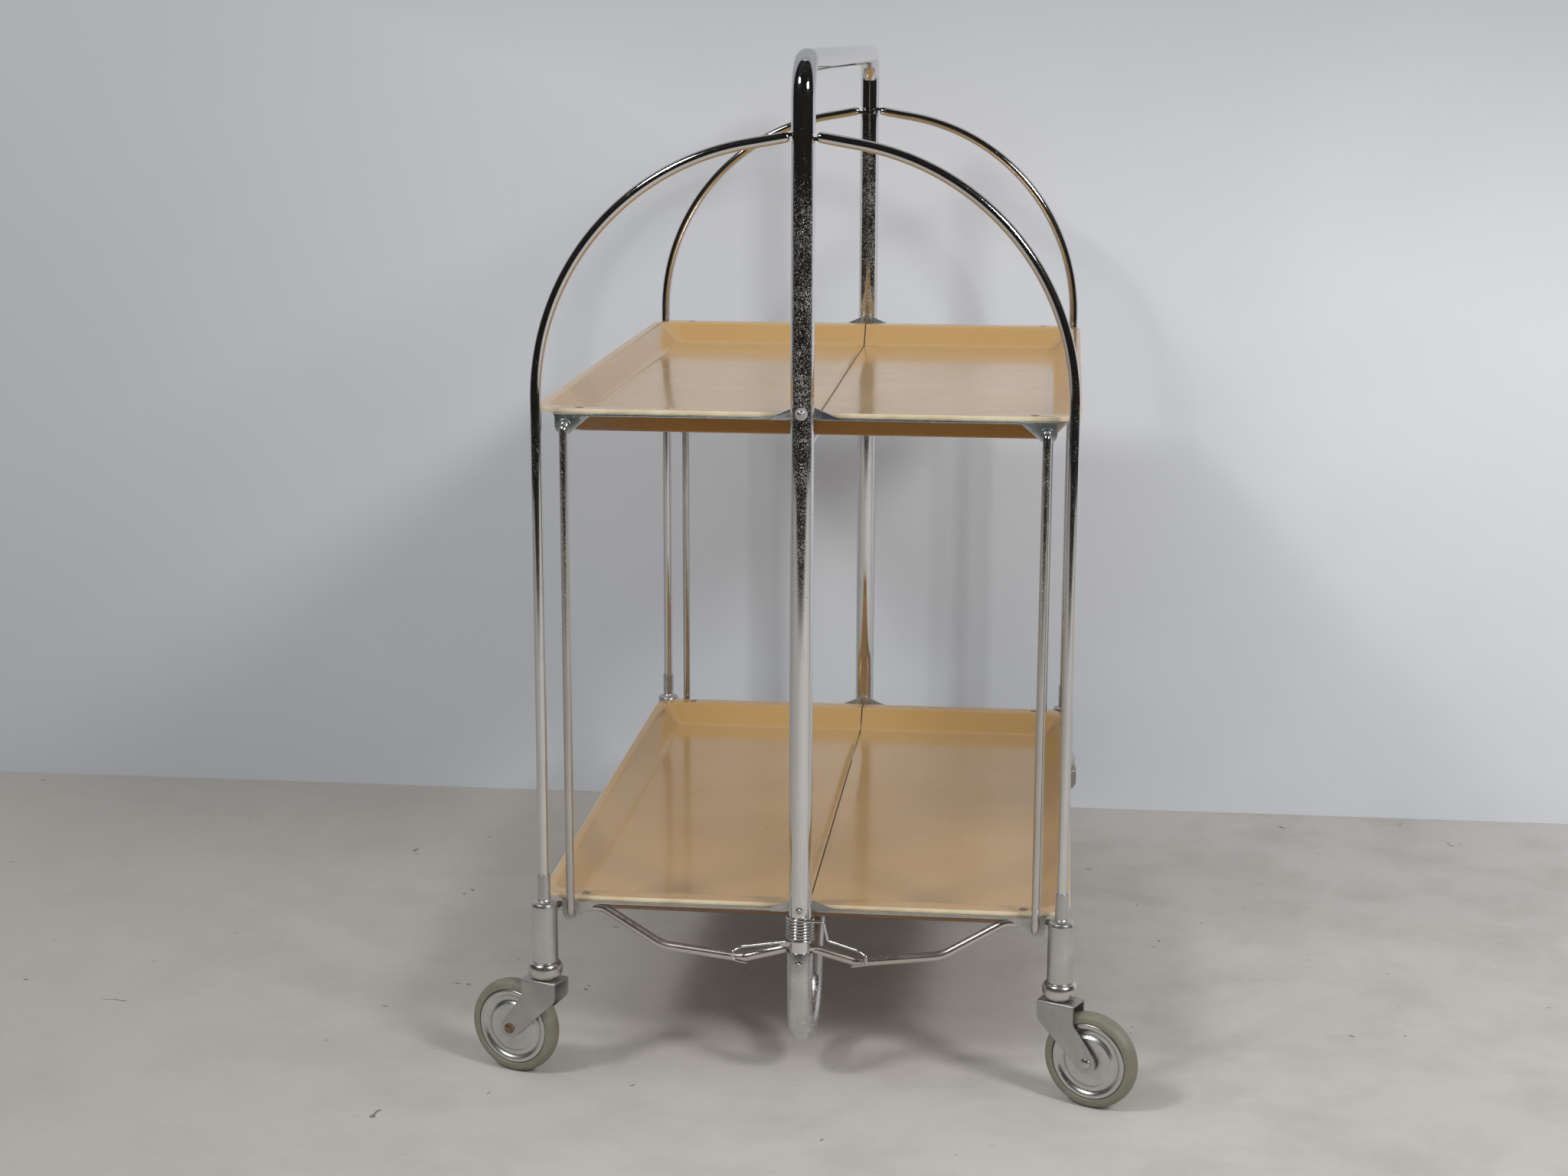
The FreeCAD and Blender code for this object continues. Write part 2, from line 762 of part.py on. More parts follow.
def caster_axle():
    half = fork_gap / 2 + fork_sheet
    wide = axle_head_radius
    end = half + axle_head
    flat = wide * 0.15
    return about_axle(turned((0, -end), [
        (flat, -end), ((wide * 0.75, -half - axle_head * 0.8), (wide, -half - axle_head * 0.4)),
        (wide, -half), (axle_radius, -half), (axle_radius, half), (wide, half),
        (wide, half + axle_head * 0.4), ((wide * 0.75, half + axle_head * 0.8), (flat, end)), (0, end)]))


def tyre():
    half = tyre_width / 2
    lip = rim_radius + rim_inset
    inner = half - rim_sheet - tyre_lip
    shoulder = wheel_radius - tyre_shoulder
    crown = [(wheel_radius, -half * 0.35), (wheel_radius, half * 0.35)]
    return about_axle(turned((tyre_inner_radius, -inner), [
        (lip, -inner), (lip, -half), (shoulder, -half), ((wheel_radius - 0.8, -half * 0.78), crown[0]),
        crown[1], ((wheel_radius - 0.8, half * 0.78), (shoulder, half)),
        (lip, half), (lip, inner), (tyre_inner_radius, inner)]))


def rim_disc():
    """Pressed disc on the +side of the wheel: raised centre, trough and rolled edge."""
    flat = tyre_width / 2 - rim_inset
    low = flat - rim_trough
    inner = rim_trough_radius - rim_trough_width / 2
    outer = rim_trough_radius + rim_trough_width / 2
    levels = [(hub_radius + seat_fit, flat), (inner - rim_trough_slope, flat), (inner, low), (outer, low),
              (outer + rim_trough_slope, flat), (rim_radius - rim_roll, flat), (rim_radius, flat - rim_roll)]
    back = [(r, z - rim_sheet) for r, z in reversed(levels)]
    return turned(levels[0], levels[1:] + back)


def wheel_rim():
    disc = rim_disc()
    hub_half = fork_gap / 2 - side_play
    hub = rod(hub_radius, point(0, 0, -hub_half), point(0, 0, hub_half))
    hub = hub.cut(rod(axle_radius + running_fit, point(0, 0, -hub_half), point(0, 0, hub_half)))
    other = disc.copy()
    other.rotate(origin, x_axis, 180)
    return Part.makeCompound([about_axle(shape) for shape in (disc, other, hub)])


# ---- all sub-parts

parts = {
    "handle_frame": handle_frame(),
    "upper_crossbar": upper_crossbar(),
    "lower_frame": lower_frame(),
    "frame_rivets": frame_rivets(),
    "tray_pivot_pins": tray_pivot_pins(),
    "gate_hinge_pins": gate_hinge_pins(),
    "hinge_plugs": hinge_plugs(),
    "gate_springs": both_ends([gate_spring()]),
}

for level, pivot_height in (("upper", upper_pivot_height), ("lower", lower_pivot_height)):
    for name, build in (("tray", tray_half), ("brackets", tray_brackets), ("screws", tray_screws)):
        right = build(pivot_height)
        parts[level + "_right_" + name] = right
        parts[level + "_left_" + name] = turned_round(right)

right_rod = link_rod()
parts["near_right_rod"] = right_rod
parts["far_left_rod"] = turned_round(right_rod)
parts["near_left_rod"] = mirrored(right_rod)
parts["far_right_rod"] = turned_round(mirrored(right_rod))

# a gate turned round makes the one at the opposite corner
for corner, opposite, left_side in (("near_right", "far_left", False), ("near_left", "far_right", True)):
    gate = {
        "arch_leg": arch_leg(left_side),
        "caster_sleeve": caster_sleeve(),
        "lower_rail": lower_rail(left_side),
        "caster_socket": caster_socket(),
    }
    for name, shape in gate.items():
        placed = near_end(mirrored(shape) if left_side else shape)
        parts[corner + "_" + name] = placed
        parts[opposite + "_" + name] = turned_round(placed)

caster = {
    "fork": caster_fork(),
    "stem": caster_stem(),
    "axle": caster_axle(),
    "tyre": tyre(),
    "wheel_rim": wheel_rim(),
}
for corner, trail_angle in trail_angles.items():
    x = gate_radius if "right" in corner else -gate_radius
    y = half_span if "far" in corner else -half_span
    for name, shape in caster.items():
        parts[corner + "_" + name] = moved(turned_round(shape, trail_angle), x, y)

for name, shape in parts.items():
    for solid in shape.Solids:
        if not solid.isValid() or solid.Volume <= 0:
            print("check", name, solid.isValid(), round(solid.Volume, 1))
    shape.exportStep("parts/" + name + ".step")
print(len(parts), "parts written")
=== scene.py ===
import bmesh
import bpy
import json
import math
import numpy as np
from mathutils import Matrix, Vector
from types import SimpleNamespace as Named

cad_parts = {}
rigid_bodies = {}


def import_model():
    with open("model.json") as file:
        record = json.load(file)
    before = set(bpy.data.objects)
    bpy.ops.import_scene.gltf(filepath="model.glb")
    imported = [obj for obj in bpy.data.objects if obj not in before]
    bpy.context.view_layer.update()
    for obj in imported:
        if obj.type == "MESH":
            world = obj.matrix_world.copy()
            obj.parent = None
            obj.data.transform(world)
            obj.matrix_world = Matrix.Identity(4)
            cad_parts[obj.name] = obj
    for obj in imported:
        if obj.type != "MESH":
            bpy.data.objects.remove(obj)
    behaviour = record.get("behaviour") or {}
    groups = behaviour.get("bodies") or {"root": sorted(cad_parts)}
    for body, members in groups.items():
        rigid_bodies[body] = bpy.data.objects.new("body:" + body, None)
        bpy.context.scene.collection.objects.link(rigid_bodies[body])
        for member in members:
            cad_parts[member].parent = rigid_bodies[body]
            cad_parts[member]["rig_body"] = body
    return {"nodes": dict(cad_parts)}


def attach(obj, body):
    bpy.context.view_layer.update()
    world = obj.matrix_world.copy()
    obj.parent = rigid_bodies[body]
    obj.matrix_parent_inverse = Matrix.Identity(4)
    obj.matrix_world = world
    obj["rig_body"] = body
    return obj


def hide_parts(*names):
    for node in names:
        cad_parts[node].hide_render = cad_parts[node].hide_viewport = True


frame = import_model()
bpy.context.view_layer.update()
nodes = frame["nodes"]
mm = 0.001
print("frame loaded:", len(nodes), "nodes")

# shared places, in millimetres as on the drawing
trolley = Named(
    postY=306.0, postRadius=8.5, postWall=1.5, topHeight=757.0, handleBend=26.0, gateX=190.8,
    upperPivot=506.0, lowerPivot=140.0, rimDrop=2.2, rodX=172.0)
corners = {  # side of the tray, end of the trolley, where the wheel trails in degrees
    "near_right": (1, -1, -25.0), "near_left": (-1, -1, 160.0),
    "far_left": (-1, 1, 155.0), "far_right": (1, 1, 182.0),
}


def bentPath(start, heading, steps, spacing=4.0):
    # Points along straight lengths and (radius, turn) bends in one plane: a bend's points are its
    # centre plus the radius at evenly spaced angles, a straight's are evenly spaced.
    here = np.array(start, float)
    angle = math.radians(heading)
    runs = [here[None, :]]
    for step in steps:
        if isinstance(step, tuple):
            radius, turn = step[0], math.radians(step[1])
            side = math.copysign(1, turn)
            centre = here + side * radius * np.array([-math.sin(angle), math.cos(angle)])
            count = max(6, int(abs(turn) * radius / spacing * 2))
            a = angle + turn * np.arange(1, count + 1) / count
            runs.append(centre + side * radius * np.stack([np.sin(a), -np.cos(a)], 1))
            angle += turn
        else:
            count = max(1, int(step / (spacing * 6)))
            along = step * np.arange(1, count + 1) / count
            runs.append(here + along[:, None] * np.array([math.cos(angle), math.sin(angle)]))
        here = runs[-1][-1]
    return np.concatenate(runs)


def acrossTrolley(flat, x=0.0):
    # A flat path's two directions become Y and Z, at one place in X.
    return np.stack([np.full(len(flat), x), flat[:, 0], flat[:, 1]], 1)


def roundedLine(points, radii, count=14):
    # Points through a bent line in space, each inner corner replaced by an arc: the arc's centre lies
    # on the corner's bisector, and its points turn from one tangent point to the other.
    p = np.array(points, float)
    runs = [p[:1]]
    for before, corner, after, radius in zip(p, p[1:], p[2:], radii):
        a = (before - corner) / np.linalg.norm(before - corner)
        b = (after - corner) / np.linalg.norm(after - corner)
        half = math.acos(np.clip(a @ b, -1, 1)) / 2
        if math.pi / 2 - half < 1e-4:  # nearly straight
            continue
        reach = radius / math.tan(half)
        centre = corner + (a + b) / np.linalg.norm(a + b) * radius / math.sin(half)
        u = corner + a * reach - centre
        v = corner + b * reach - centre
        sweep = math.pi - 2 * half
        t = np.linspace(0, 1, count)[:, None]
        runs.append(centre + (np.sin((1 - t) * sweep) * u + np.sin(t * sweep) * v) / math.sin(sweep))
    runs.append(p[-1:])
    return np.concatenate(runs)


def alongFrames(path, up, sides=None):
    # Side and top direction at each point: the side is square to the tangent and to a fixed direction,
    # or a wished direction made square to the tangent, and the top is square to both.
    tangent = np.gradient(path, axis=0)
    tangent /= np.linalg.norm(tangent, axis=1)[:, None]
    if sides is None:
        side = np.cross(tangent, np.array(up, float))
    else:
        side = sides - (sides * tangent).sum(1)[:, None] * tangent
    side /= np.linalg.norm(side, axis=1)[:, None]
    return side, np.cross(side, tangent)


def gridFaces(rows, cols, closeCols, keep=None, closeRows=False):
    # Quads between neighbouring rows and columns of a grid; keep is a mask of the quads.
    lastRow, lastCol = rows if closeRows else rows - 1, cols if closeCols else cols - 1
    i, j = np.meshgrid(np.arange(lastRow), np.arange(lastCol), indexing="ij")
    if keep is not None:
        i, j = i[keep], j[keep]
    i, j = i.ravel(), j.ravel()
    m, k = (i + 1) % rows, (j + 1) % cols
    return np.stack([i * cols + j, i * cols + k, m * cols + k, m * cols + j], 1)


def addObject(name, data):
    thing = bpy.data.objects.new(name, data)
    bpy.context.scene.collection.objects.link(thing)
    return thing


def shadeMesh(mesh, sharp):
    # Smooth shading, with edges sharper than an angle in degrees kept crisp.
    mesh.shade_smooth()
    mesh.set_sharp_from_angle(angle=math.radians(sharp))


def meshPiece(name, parts, sharp=35.0):
    # One object from a list of (points in millimetres, faces).
    points, faces, base = [], [], 0
    for p, f in parts:
        points.append(np.asarray(p, float).reshape(-1, 3))
        faces += [tuple(int(v) + base for v in face) for face in f]
        base += len(points[-1])
    mesh = bpy.data.meshes.new(name)
    mesh.from_pydata(np.concatenate(points) * mm, [], faces)
    mesh.update()
    shadeMesh(mesh, sharp)
    return addObject(name, mesh)


def roundEdges(piece, width, segments, angle):
    soft = piece.modifiers.new("soft", "BEVEL")
    soft.width = width * mm
    soft.segments = segments
    soft.limit_method = "ANGLE"
    soft.angle_limit = math.radians(angle)


def keepResult(piece, sharp):
    # What the modifiers make becomes the piece's own mesh.
    bpy.context.view_layer.update()
    shaped = piece.evaluated_get(bpy.context.evaluated_depsgraph_get())
    piece.data = bpy.data.meshes.new_from_object(shaped)
    piece.modifiers.clear()
    shadeMesh(piece.data, sharp)


def giveWall(piece, thickness, bevel=0.0):
    # Gives an open surface its wall inwards and rounds the wall's edges a little.
    wall = piece.modifiers.new("wall", "SOLIDIFY")
    wall.thickness = thickness * mm
    wall.offset = -1
    wall.use_even_offset = True
    if bevel:
        roundEdges(piece, bevel, 2, 50)
    keepResult(piece, 40)


def tubeGrid(path, radius, up=(1, 0, 0), around=40, caps=True, sides=None):
    # A round tube: each ring is the path's point plus radius times the cosine of the angle along the
    # side direction and the sine along the top direction.
    side, top = alongFrames(path, up, sides)
    a = np.linspace(0, 2 * math.pi, around, endpoint=False)
    radius = np.broadcast_to(np.asarray(radius, float), (len(path),))
    ring = np.cos(a)[None, :, None] * side[:, None, :] + np.sin(a)[None, :, None] * top[:, None, :]
    points = path[:, None, :] + radius[:, None, None] * ring
    faces = list(gridFaces(len(path), around, True)[:, ::-1])
    if caps:
        last = (len(path) - 1) * around
        faces.append(tuple(range(around)))
        faces.append(tuple(last + k for k in range(around - 1, -1, -1)))
    return points.reshape(-1, 3), faces


def pinchedTube(path, radius, places, shares, up, around):
    # A tube whose first end is drawn in round: rings at some places from the end have a share of the
    # full radius.
    along = (path[1] - path[0]) / np.linalg.norm(path[1] - path[0])
    path = np.concatenate([path[0] + along * np.array(places)[:, None], path[1:]])
    radii = np.full(len(path), radius)
    radii[:len(shares)] = radius * np.array(shares)
    return tubeGrid(path, radii, up, around)


def latheGrid(profile, around=64, closed=True):
    # A turned shape about Z: the profile's radius and height at every angle. A closed profile makes a
    # ring, an open one ends on the axis.
    profile = np.asarray(profile, float)
    line = profile if closed else profile[1:-1]
    a = np.linspace(0, 2 * math.pi, around, endpoint=False)
    points = np.stack([line[:, 0, None] * np.cos(a), line[:, 0, None] * np.sin(a),
                       np.broadcast_to(line[:, 1, None], (len(line), around))], -1).reshape(-1, 3)
    faces = list(gridFaces(len(line), around, True, closeRows=closed))
    if not closed:
        first, last = len(points), len(points) + 1
        points = np.concatenate([points, [[0, 0, profile[0, 1]], [0, 0, profile[-1, 1]]]])
        base = (len(line) - 1) * around
        for k in range(around):
            n = (k + 1) % around
            faces += [(first, n, k), (last, base + k, base + n)]
    return points, faces


def softProfile(points, radii, closed=True, count=5):
    # A profile with rounded corners: each corner is a curve between two points on its sides, whose
    # reach is limited by the shorter neighbour.
    p = np.array(points, float)
    n = len(p)
    out = []
    for k in range(n):
        r = radii[k] if isinstance(radii, (list, tuple)) else radii
        if not closed and k in (0, n - 1):
            out.append(p[k][None, :])
            continue
        before, corner, after = p[k - 1], p[k], p[(k + 1) % n]
        a, b = before - corner, after - corner
        la, lb = np.linalg.norm(a), np.linalg.norm(b)
        a, b = a / la, b / lb
        half = math.acos(np.clip(a @ b, -1, 1)) / 2
        if r <= 0 or math.pi / 2 - half < 0.02:
            out.append(corner[None, :])
            continue
        reach = min(r / math.tan(half), la * 0.45, lb * 0.45)
        t = np.linspace(0, 1, count)[:, None]
        pull = 2 * t * (1 - t) * corner
        out.append((1 - t) ** 2 * (corner + a * reach) + pull + t ** 2 * (corner + b * reach))
    return np.concatenate(out)


def smoothLine(line, count):
    # A smooth curve through a line's points: each span is the cubic that meets its neighbours' slopes.
    place = np.interp(np.linspace(0, 1, count), np.linspace(0, 1, len(line)), np.arange(len(line)))
    k = np.clip(place.astype(int), 0, len(line) - 2)
    f = (place - k)[:, None]
    p, q, r, s = line[np.maximum(k - 1, 0)], line[k], line[k + 1], line[np.minimum(k + 2, len(line) - 1)]
    square, cube = 2 * p - 5 * q + 4 * r - s, 3 * q - p - 3 * r + s
    return 0.5 * (2 * q + (r - p) * f + square * f ** 2 + cube * f ** 3)


def placed(parts, turn=0.0, x=0.0, y=0.0, mirrorX=False):
    # Parts turned about Z, then moved, in millimetres; a mirrored part has its faces reversed.
    c, s = math.cos(math.radians(turn)), math.sin(math.radians(turn))
    spin = np.array([[c, -s, 0], [s, c, 0], [0, 0, 1]])
    out = []
    for points, faces in parts:
        p = np.array(points, float).reshape(-1, 3)
        if mirrorX:
            p = p * np.array([-1, 1, 1])
            faces = [tuple(f)[::-1] for f in faces]
        out.append((p @ spin.T + np.array([x, y, 0]), faces))
    return out


def finishPiece(piece, material, slotName, body, *nodeNames):
    piece.data.materials.clear()
    piece.data.materials.append(material)
    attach(piece, body)
    if nodeNames:
        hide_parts(*nodeNames)


def bodyOf(nodeName):
    return nodes[nodeName]["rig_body"]


def isLeft(corner):
    # Whether a corner is on the left, seen from its own end of the trolley.
    side, end = corners[corner][:2]
    return side * end > 0


def cornerPiece(corner, label, parts, finish, slotName, body="gate"):
    # Parts built about the near right post go to their corner.
    if isLeft(corner):
        parts = placed(parts, mirrorX=True)
    parts = placed(parts, y=-trolley.postY)
    if corners[corner][1] > 0:
        parts = placed(parts, 180)
    piece = meshPiece(corner + label, parts)
    finishPiece(piece, metals[finish], slotName, corner + "_" + body, corner + "_" + slotName)


class Net:
    # Short hand for wiring shader nodes.

    def __init__(self, tree):
        self.tree = tree

    def add(self, kind, **values):
        node = self.tree.nodes.new("ShaderNode" + kind)
        for key, value in values.items():
            setattr(node, key, value)
        return node

    def link(self, a, b):
        self.tree.links.new(a, b)

    def feed(self, socket, value):
        # Links another socket, or sets a plain value; a colour is opaque.
        if isinstance(value, bpy.types.NodeSocket):
            self.link(value, socket)
        else:
            socket.default_value = (*value, 1) if socket.type == "RGBA" else value

    def put(self, node, **inputs):
        for key, value in inputs.items():
            self.feed(node.inputs[key.replace("_", " ")], value)
        return node

    def fill(self, node, values):
        for k, value in values:
            self.feed(node.inputs[k], value)
        return node

    def math(self, operation, a, b):
        return self.fill(self.add("Math", operation=operation), enumerate((a, b))).outputs[0]

    def times(self, a, b):
        return self.math("MULTIPLY", a, b)

    def noise(self, vector, scale, detail=4, rough=0.5, distort=0):
        node = self.add("TexNoise")
        self.put(node, Vector=vector, Scale=scale, Detail=detail, Roughness=rough, Distortion=distort)
        return node.outputs["Fac"]

    def mapRange(self, value, low, high, toLow=0, toHigh=1, smooth=False):
        node = self.add("MapRange", interpolation_type="SMOOTHSTEP" if smooth else "LINEAR")
        return self.fill(node, enumerate((value, low, high, toLow, toHigh))).outputs[0]

    def stretch(self, vector, scale):
        return self.put(self.add("Mapping"), Vector=vector, Scale=scale).outputs[0]

    def split(self, vector):
        return self.fill(self.add("SeparateXYZ"), [(0, vector)]).outputs

    def place(self, kind):
        return self.add("TexCoord").outputs[kind]

    def mixColour(self, factor, a, b):
        node = self.add("Mix", data_type="RGBA")
        return self.fill(node, [(0, factor), (6, a), (7, b)]).outputs[2]

    def mixValue(self, factor, a, b):
        node = self.add("Mix", data_type="FLOAT")
        return self.fill(node, [(0, factor), (2, a), (3, b)]).outputs[0]


def newGroup(name, ins, outs):
    group = bpy.data.node_groups.new(name, "ShaderNodeTree")
    for label, value in ins:
        kind = "NodeSocketVector" if value is None else "NodeSocketFloat"
        socket = group.interface.new_socket(label, in_out="INPUT", socket_type=kind)
        if value is not None:
            socket.default_value = value
    for label in outs:
        group.interface.new_socket(label, in_out="OUTPUT", socket_type="NodeSocketFloat")
    net = Net(group)
    return group, net, group.nodes.new("NodeGroupInput").outputs, group.nodes.new("NodeGroupOutput").inputs


def makePitting():
    # Corrosion specks of old plating: a fine noise, drawn out a little along the height, kept where it
    # passes a threshold that a coarser noise raises and lowers.
    ins = [("Vector", None), ("Scale", 900), ("Amount", 0.5)]
    group, net, inn, out = newGroup("Pitting", ins, ["Mask", "Height"])
    fine = net.noise(net.stretch(inn["Vector"], (1, 1, 0.55)), inn["Scale"], 2.5, 0.62)
    patch = net.noise(inn["Vector"], 85, 3, 0.6)
    level = net.math("ADD", 0.74, net.times(inn["Amount"], -0.16))
    level = net.math("ADD", level, net.mapRange(patch, 0.3, 0.7, 0.045, -0.045))
    mask = net.mapRange(net.math("SUBTRACT", fine, level), 0, 0.03)
    net.link(mask, out["Mask"])
    net.link(net.times(mask, -1), out["Height"])
    return group


def makeHandling():
    # Haze, wipe marks and fine scratches: stretched noises for lines, a soft one for smears.
    ins = [("Vector", None), ("Scale", 1)]
    group, net, inn, out = newGroup("Handling", ins, ["Smear", "Scratch", "Height"])
    place = net.put(net.add("VectorMath", operation="SCALE"), Scale=inn["Scale"])
    net.link(inn["Vector"], place.inputs[0])
    smear = net.noise(place.outputs[0], 22, 5, 0.62, 0.4)
    long = net.noise(net.stretch(place.outputs[0], (900, 900, 28)), 1, 2)
    cross = net.noise(net.stretch(place.outputs[0], (60, 700, 700)), 1, 2)
    scratch = net.math("MAXIMUM", net.mapRange(long, 0.66, 0.74), net.mapRange(cross, 0.70, 0.78))
    net.link(net.mapRange(smear, 0.3, 0.72), out["Smear"])
    net.link(scratch, out["Scratch"])
    net.link(net.times(scratch, -1), out["Height"])
    return group


def makeDust():
    # Dust that settles on faces that look up, broken by noise.
    group, net, inn, out = newGroup("Dust", [("Vector", None), ("Amount", 0.3)], ["Mask"])
    up = net.mapRange(net.split(net.place("Normal"))[2], 0.25, 0.95)
    grain = net.mapRange(net.noise(inn["Vector"], 320, 6, 0.7), 0.42, 0.68)
    cloud = net.mapRange(net.noise(inn["Vector"], 14, 3), 0.3, 0.7, 0.35, 1)
    net.link(net.times(net.times(up, grain), net.times(cloud, inn["Amount"])), out["Mask"])
    return group


groups = {"pitting": makePitting(), "handling": makeHandling(), "dust": makeDust()}


def startMaterial(name, **shader):
    material = bpy.data.materials.new(name)
    material.use_nodes = True
    net = Net(material.node_tree)
    bsdf = net.put(material.node_tree.nodes["Principled BSDF"], **shader)
    return material, net, bsdf, net.place("Object")


def useGroup(net, key, **inputs):
    return net.put(net.add("Group", node_tree=groups[key]), **inputs).outputs


def bump(net, bsdf, height, distance, strength):
    node = net.put(net.add("Bump"), Height=height, Distance=distance, Strength=strength)
    net.link(node.outputs[0], bsdf.inputs["Normal"])


def platedMetal(name, colours, rough, pits, dust=0.2, tint=9, pitMetal=0.35, pitBand=None, halo=None,
                grain=None):
    # Plated steel: clear metal colour with smears, scratches, pits and dust over it.
    material, net, bsdf, coord = startMaterial(name)
    marks = useGroup(net, "handling", Vector=coord, Scale=1)
    amount, pitScale, pitColour = pits
    if pitBand:  # pits fade out above and below a stretch of the height
        height = net.split(coord)[2]
        low, lowFull, highFull, high, elsewhere = pitBand
        fade = net.times(net.mapRange(height, low, lowFull), net.mapRange(height, highFull, high, 1, 0))
        amount = net.math("ADD", net.times(fade, amount), elsewhere)
    pits = useGroup(net, "pitting", Vector=coord, Scale=pitScale, Amount=amount)
    dusty = useGroup(net, "dust", Vector=coord, Amount=dust)["Mask"]
    cloud = net.noise(coord, tint, 4, 0.6)
    colour = net.mixColour(net.mapRange(cloud, 0.3, 0.7), *colours)
    colour = net.mixColour(net.times(pits["Mask"], 0.9), colour, pitColour)
    colour = net.mixColour(dusty, colour, (0.50, 0.46, 0.40))
    rough = net.mixValue(marks["Smear"], *rough)
    rough = net.math("ADD", rough, net.times(marks["Scratch"], 0.08))
    rough = net.mixValue(pits["Mask"], rough, 0.62)
    rough = net.mixValue(dusty, rough, 0.8)
    metal = net.mixValue(pits["Mask"], 1, pitMetal)
    if halo:  # the plating is rubbed dull in a ring round each rivet
        heights, radius, dull = halo
        flat = net.stretch(coord, (1, 0, 1))
        rings = []
        for z in heights:
            away = net.add("VectorMath", operation="DISTANCE")
            net.fill(away, [(0, flat), (1, (0, 0, z))])
            rings.append(net.mapRange(away.outputs["Value"], radius, radius - 0.0006, 0, 0.8))
        ring = net.math("MAXIMUM", *rings)
        colour = net.mixColour(ring, colour, dull)
        rough = net.mixValue(ring, rough, 0.45)
        metal = net.mixValue(ring, metal, 0.6)
    metal = net.mixValue(dusty, metal, 0.1)
    net.put(bsdf, Base_Color=colour, Roughness=rough, Metallic=metal)
    height = net.math("ADD", pits["Height"], net.times(marks["Height"], 0.3))
    if grain:
        strength, scale = grain
        height = net.math("ADD", height, net.times(net.noise(coord, scale, 3), strength))
    bump(net, bsdf, height, 0.00004, 0.6)
    return material


print("finishes: groups made")

# Each finish: two colours that it clouds between, roughness clean and smeared, pits as amount, scale and
# colour, pitBand as the heights where they start, are full, start to fade and end and their amount
# elsewhere, halo as the rivets' heights, radius and colour, and grain as strength and scale.
metalLooks = {
    "postChrome": dict(
        colours=((0.76, 0.76, 0.77), (0.70, 0.69, 0.69)), rough=(0.045, 0.09),
        pits=(0.90, 1900, (0.42, 0.41, 0.39)), pitBand=(0.26, 0.42, 0.645, 0.69, 0.08), dust=0.06,
        halo=((0.506, 0.140), 0.0048, (0.60, 0.59, 0.56))),
    "legChrome": dict(
        colours=((0.72, 0.71, 0.70), (0.62, 0.61, 0.59)), rough=(0.05, 0.12),
        pits=(0.45, 1900, (0.45, 0.44, 0.41)), pitBand=(0.22, 0.32, 0.48, 0.58, 0.08), dust=0.06),
    "rodChrome": dict(
        colours=((0.62, 0.60, 0.57), (0.50, 0.48, 0.45)), rough=(0.10, 0.24),
        pits=(0.60, 1800, (0.44, 0.42, 0.38)), pitBand=(0.20, 0.32, 0.46, 0.60, 0.20), dust=0.08),
    "railChrome": dict(
        colours=((0.70, 0.67, 0.63), (0.60, 0.56, 0.51)), rough=(0.22, 0.36),
        pits=(0.35, 1100, (0.50, 0.45, 0.39))),
    "springChrome": dict(
        colours=((0.74, 0.73, 0.72), (0.62, 0.61, 0.59)), rough=(0.16, 0.26),
        pits=(0.2, 900, (0.5, 0.48, 0.45)), dust=0.08),
    "tubeSatin": dict(
        colours=((0.70, 0.695, 0.68), (0.58, 0.575, 0.56)), tint=30, rough=(0.22, 0.36),
        pits=(0.75, 620, (0.66, 0.65, 0.62)), pitBand=(0, 0.02, 0.05, 0.08, 0.25), dust=0.30,
        grain=(0.5, 900)),
    "sleeveNickel": dict(
        colours=((0.66, 0.65, 0.63), (0.56, 0.55, 0.53)), tint=40, rough=(0.30, 0.42),
        pits=(0.4, 800, (0.46, 0.44, 0.41)), dust=0.25, grain=(0.5, 1200)),
    "collarChrome": dict(
        colours=((0.70, 0.68, 0.65), (0.56, 0.54, 0.50)), tint=60, rough=(0.20, 0.34),
        pits=(0.45, 800, (0.40, 0.37, 0.33))),
    "forkZinc": dict(
        colours=((0.53, 0.52, 0.51), (0.42, 0.41, 0.40)), tint=40, rough=(0.32, 0.48),
        pits=(0.3, 900, (0.34, 0.31, 0.28)), dust=0.3, grain=(0.8, 700)),
    "rimZinc": dict(
        colours=((0.66, 0.66, 0.64), (0.52, 0.53, 0.50)), tint=70, rough=(0.24, 0.42),
        pits=(0.4, 800, (0.40, 0.38, 0.34))),
    "bracketZinc": dict(
        colours=((0.70, 0.75, 0.77), (0.44, 0.49, 0.51)), tint=150, rough=(0.24, 0.42),
        pits=(0.55, 520, (0.66, 0.69, 0.70)), pitMetal=0.8, dust=0.15),
    # painted shade: a greyer, duller copy of the bracket zinc for the lower brackets, which sit in the upper
    # tray's shade
    "bracketZincShaded": dict(
        colours=((0.62, 0.61, 0.59), (0.50, 0.50, 0.48)), tint=120, rough=(0.36, 0.50),
        pits=(0.35, 600, (0.50, 0.50, 0.48)), pitMetal=0.8),
    "rivetNickel": dict(
        colours=((0.62, 0.61, 0.58), (0.46, 0.44, 0.41)), tint=300, rough=(0.22, 0.34),
        pits=(0.4, 900, (0.36, 0.34, 0.31))),
    "axleSteel": dict(
        colours=((0.36, 0.24, 0.15), (0.22, 0.13, 0.08)), tint=300, rough=(0.36, 0.52),
        pits=(0.7, 700, (0.14, 0.08, 0.05))),
    "screwHeads": dict(
        colours=((0.42, 0.34, 0.25), (0.30, 0.23, 0.16)), tint=260, rough=(0.30, 0.46),
        pits=(0.4, 900, (0.16, 0.12, 0.09))),
    "innerSteel": dict(
        colours=((0.45, 0.44, 0.43), (0.33, 0.32, 0.31)), rough=(0.34, 0.5),
        pits=(0.3, 1100, (0.2, 0.19, 0.18))),
}
metals = {name: platedMetal(name, **look) for name, look in metalLooks.items()}


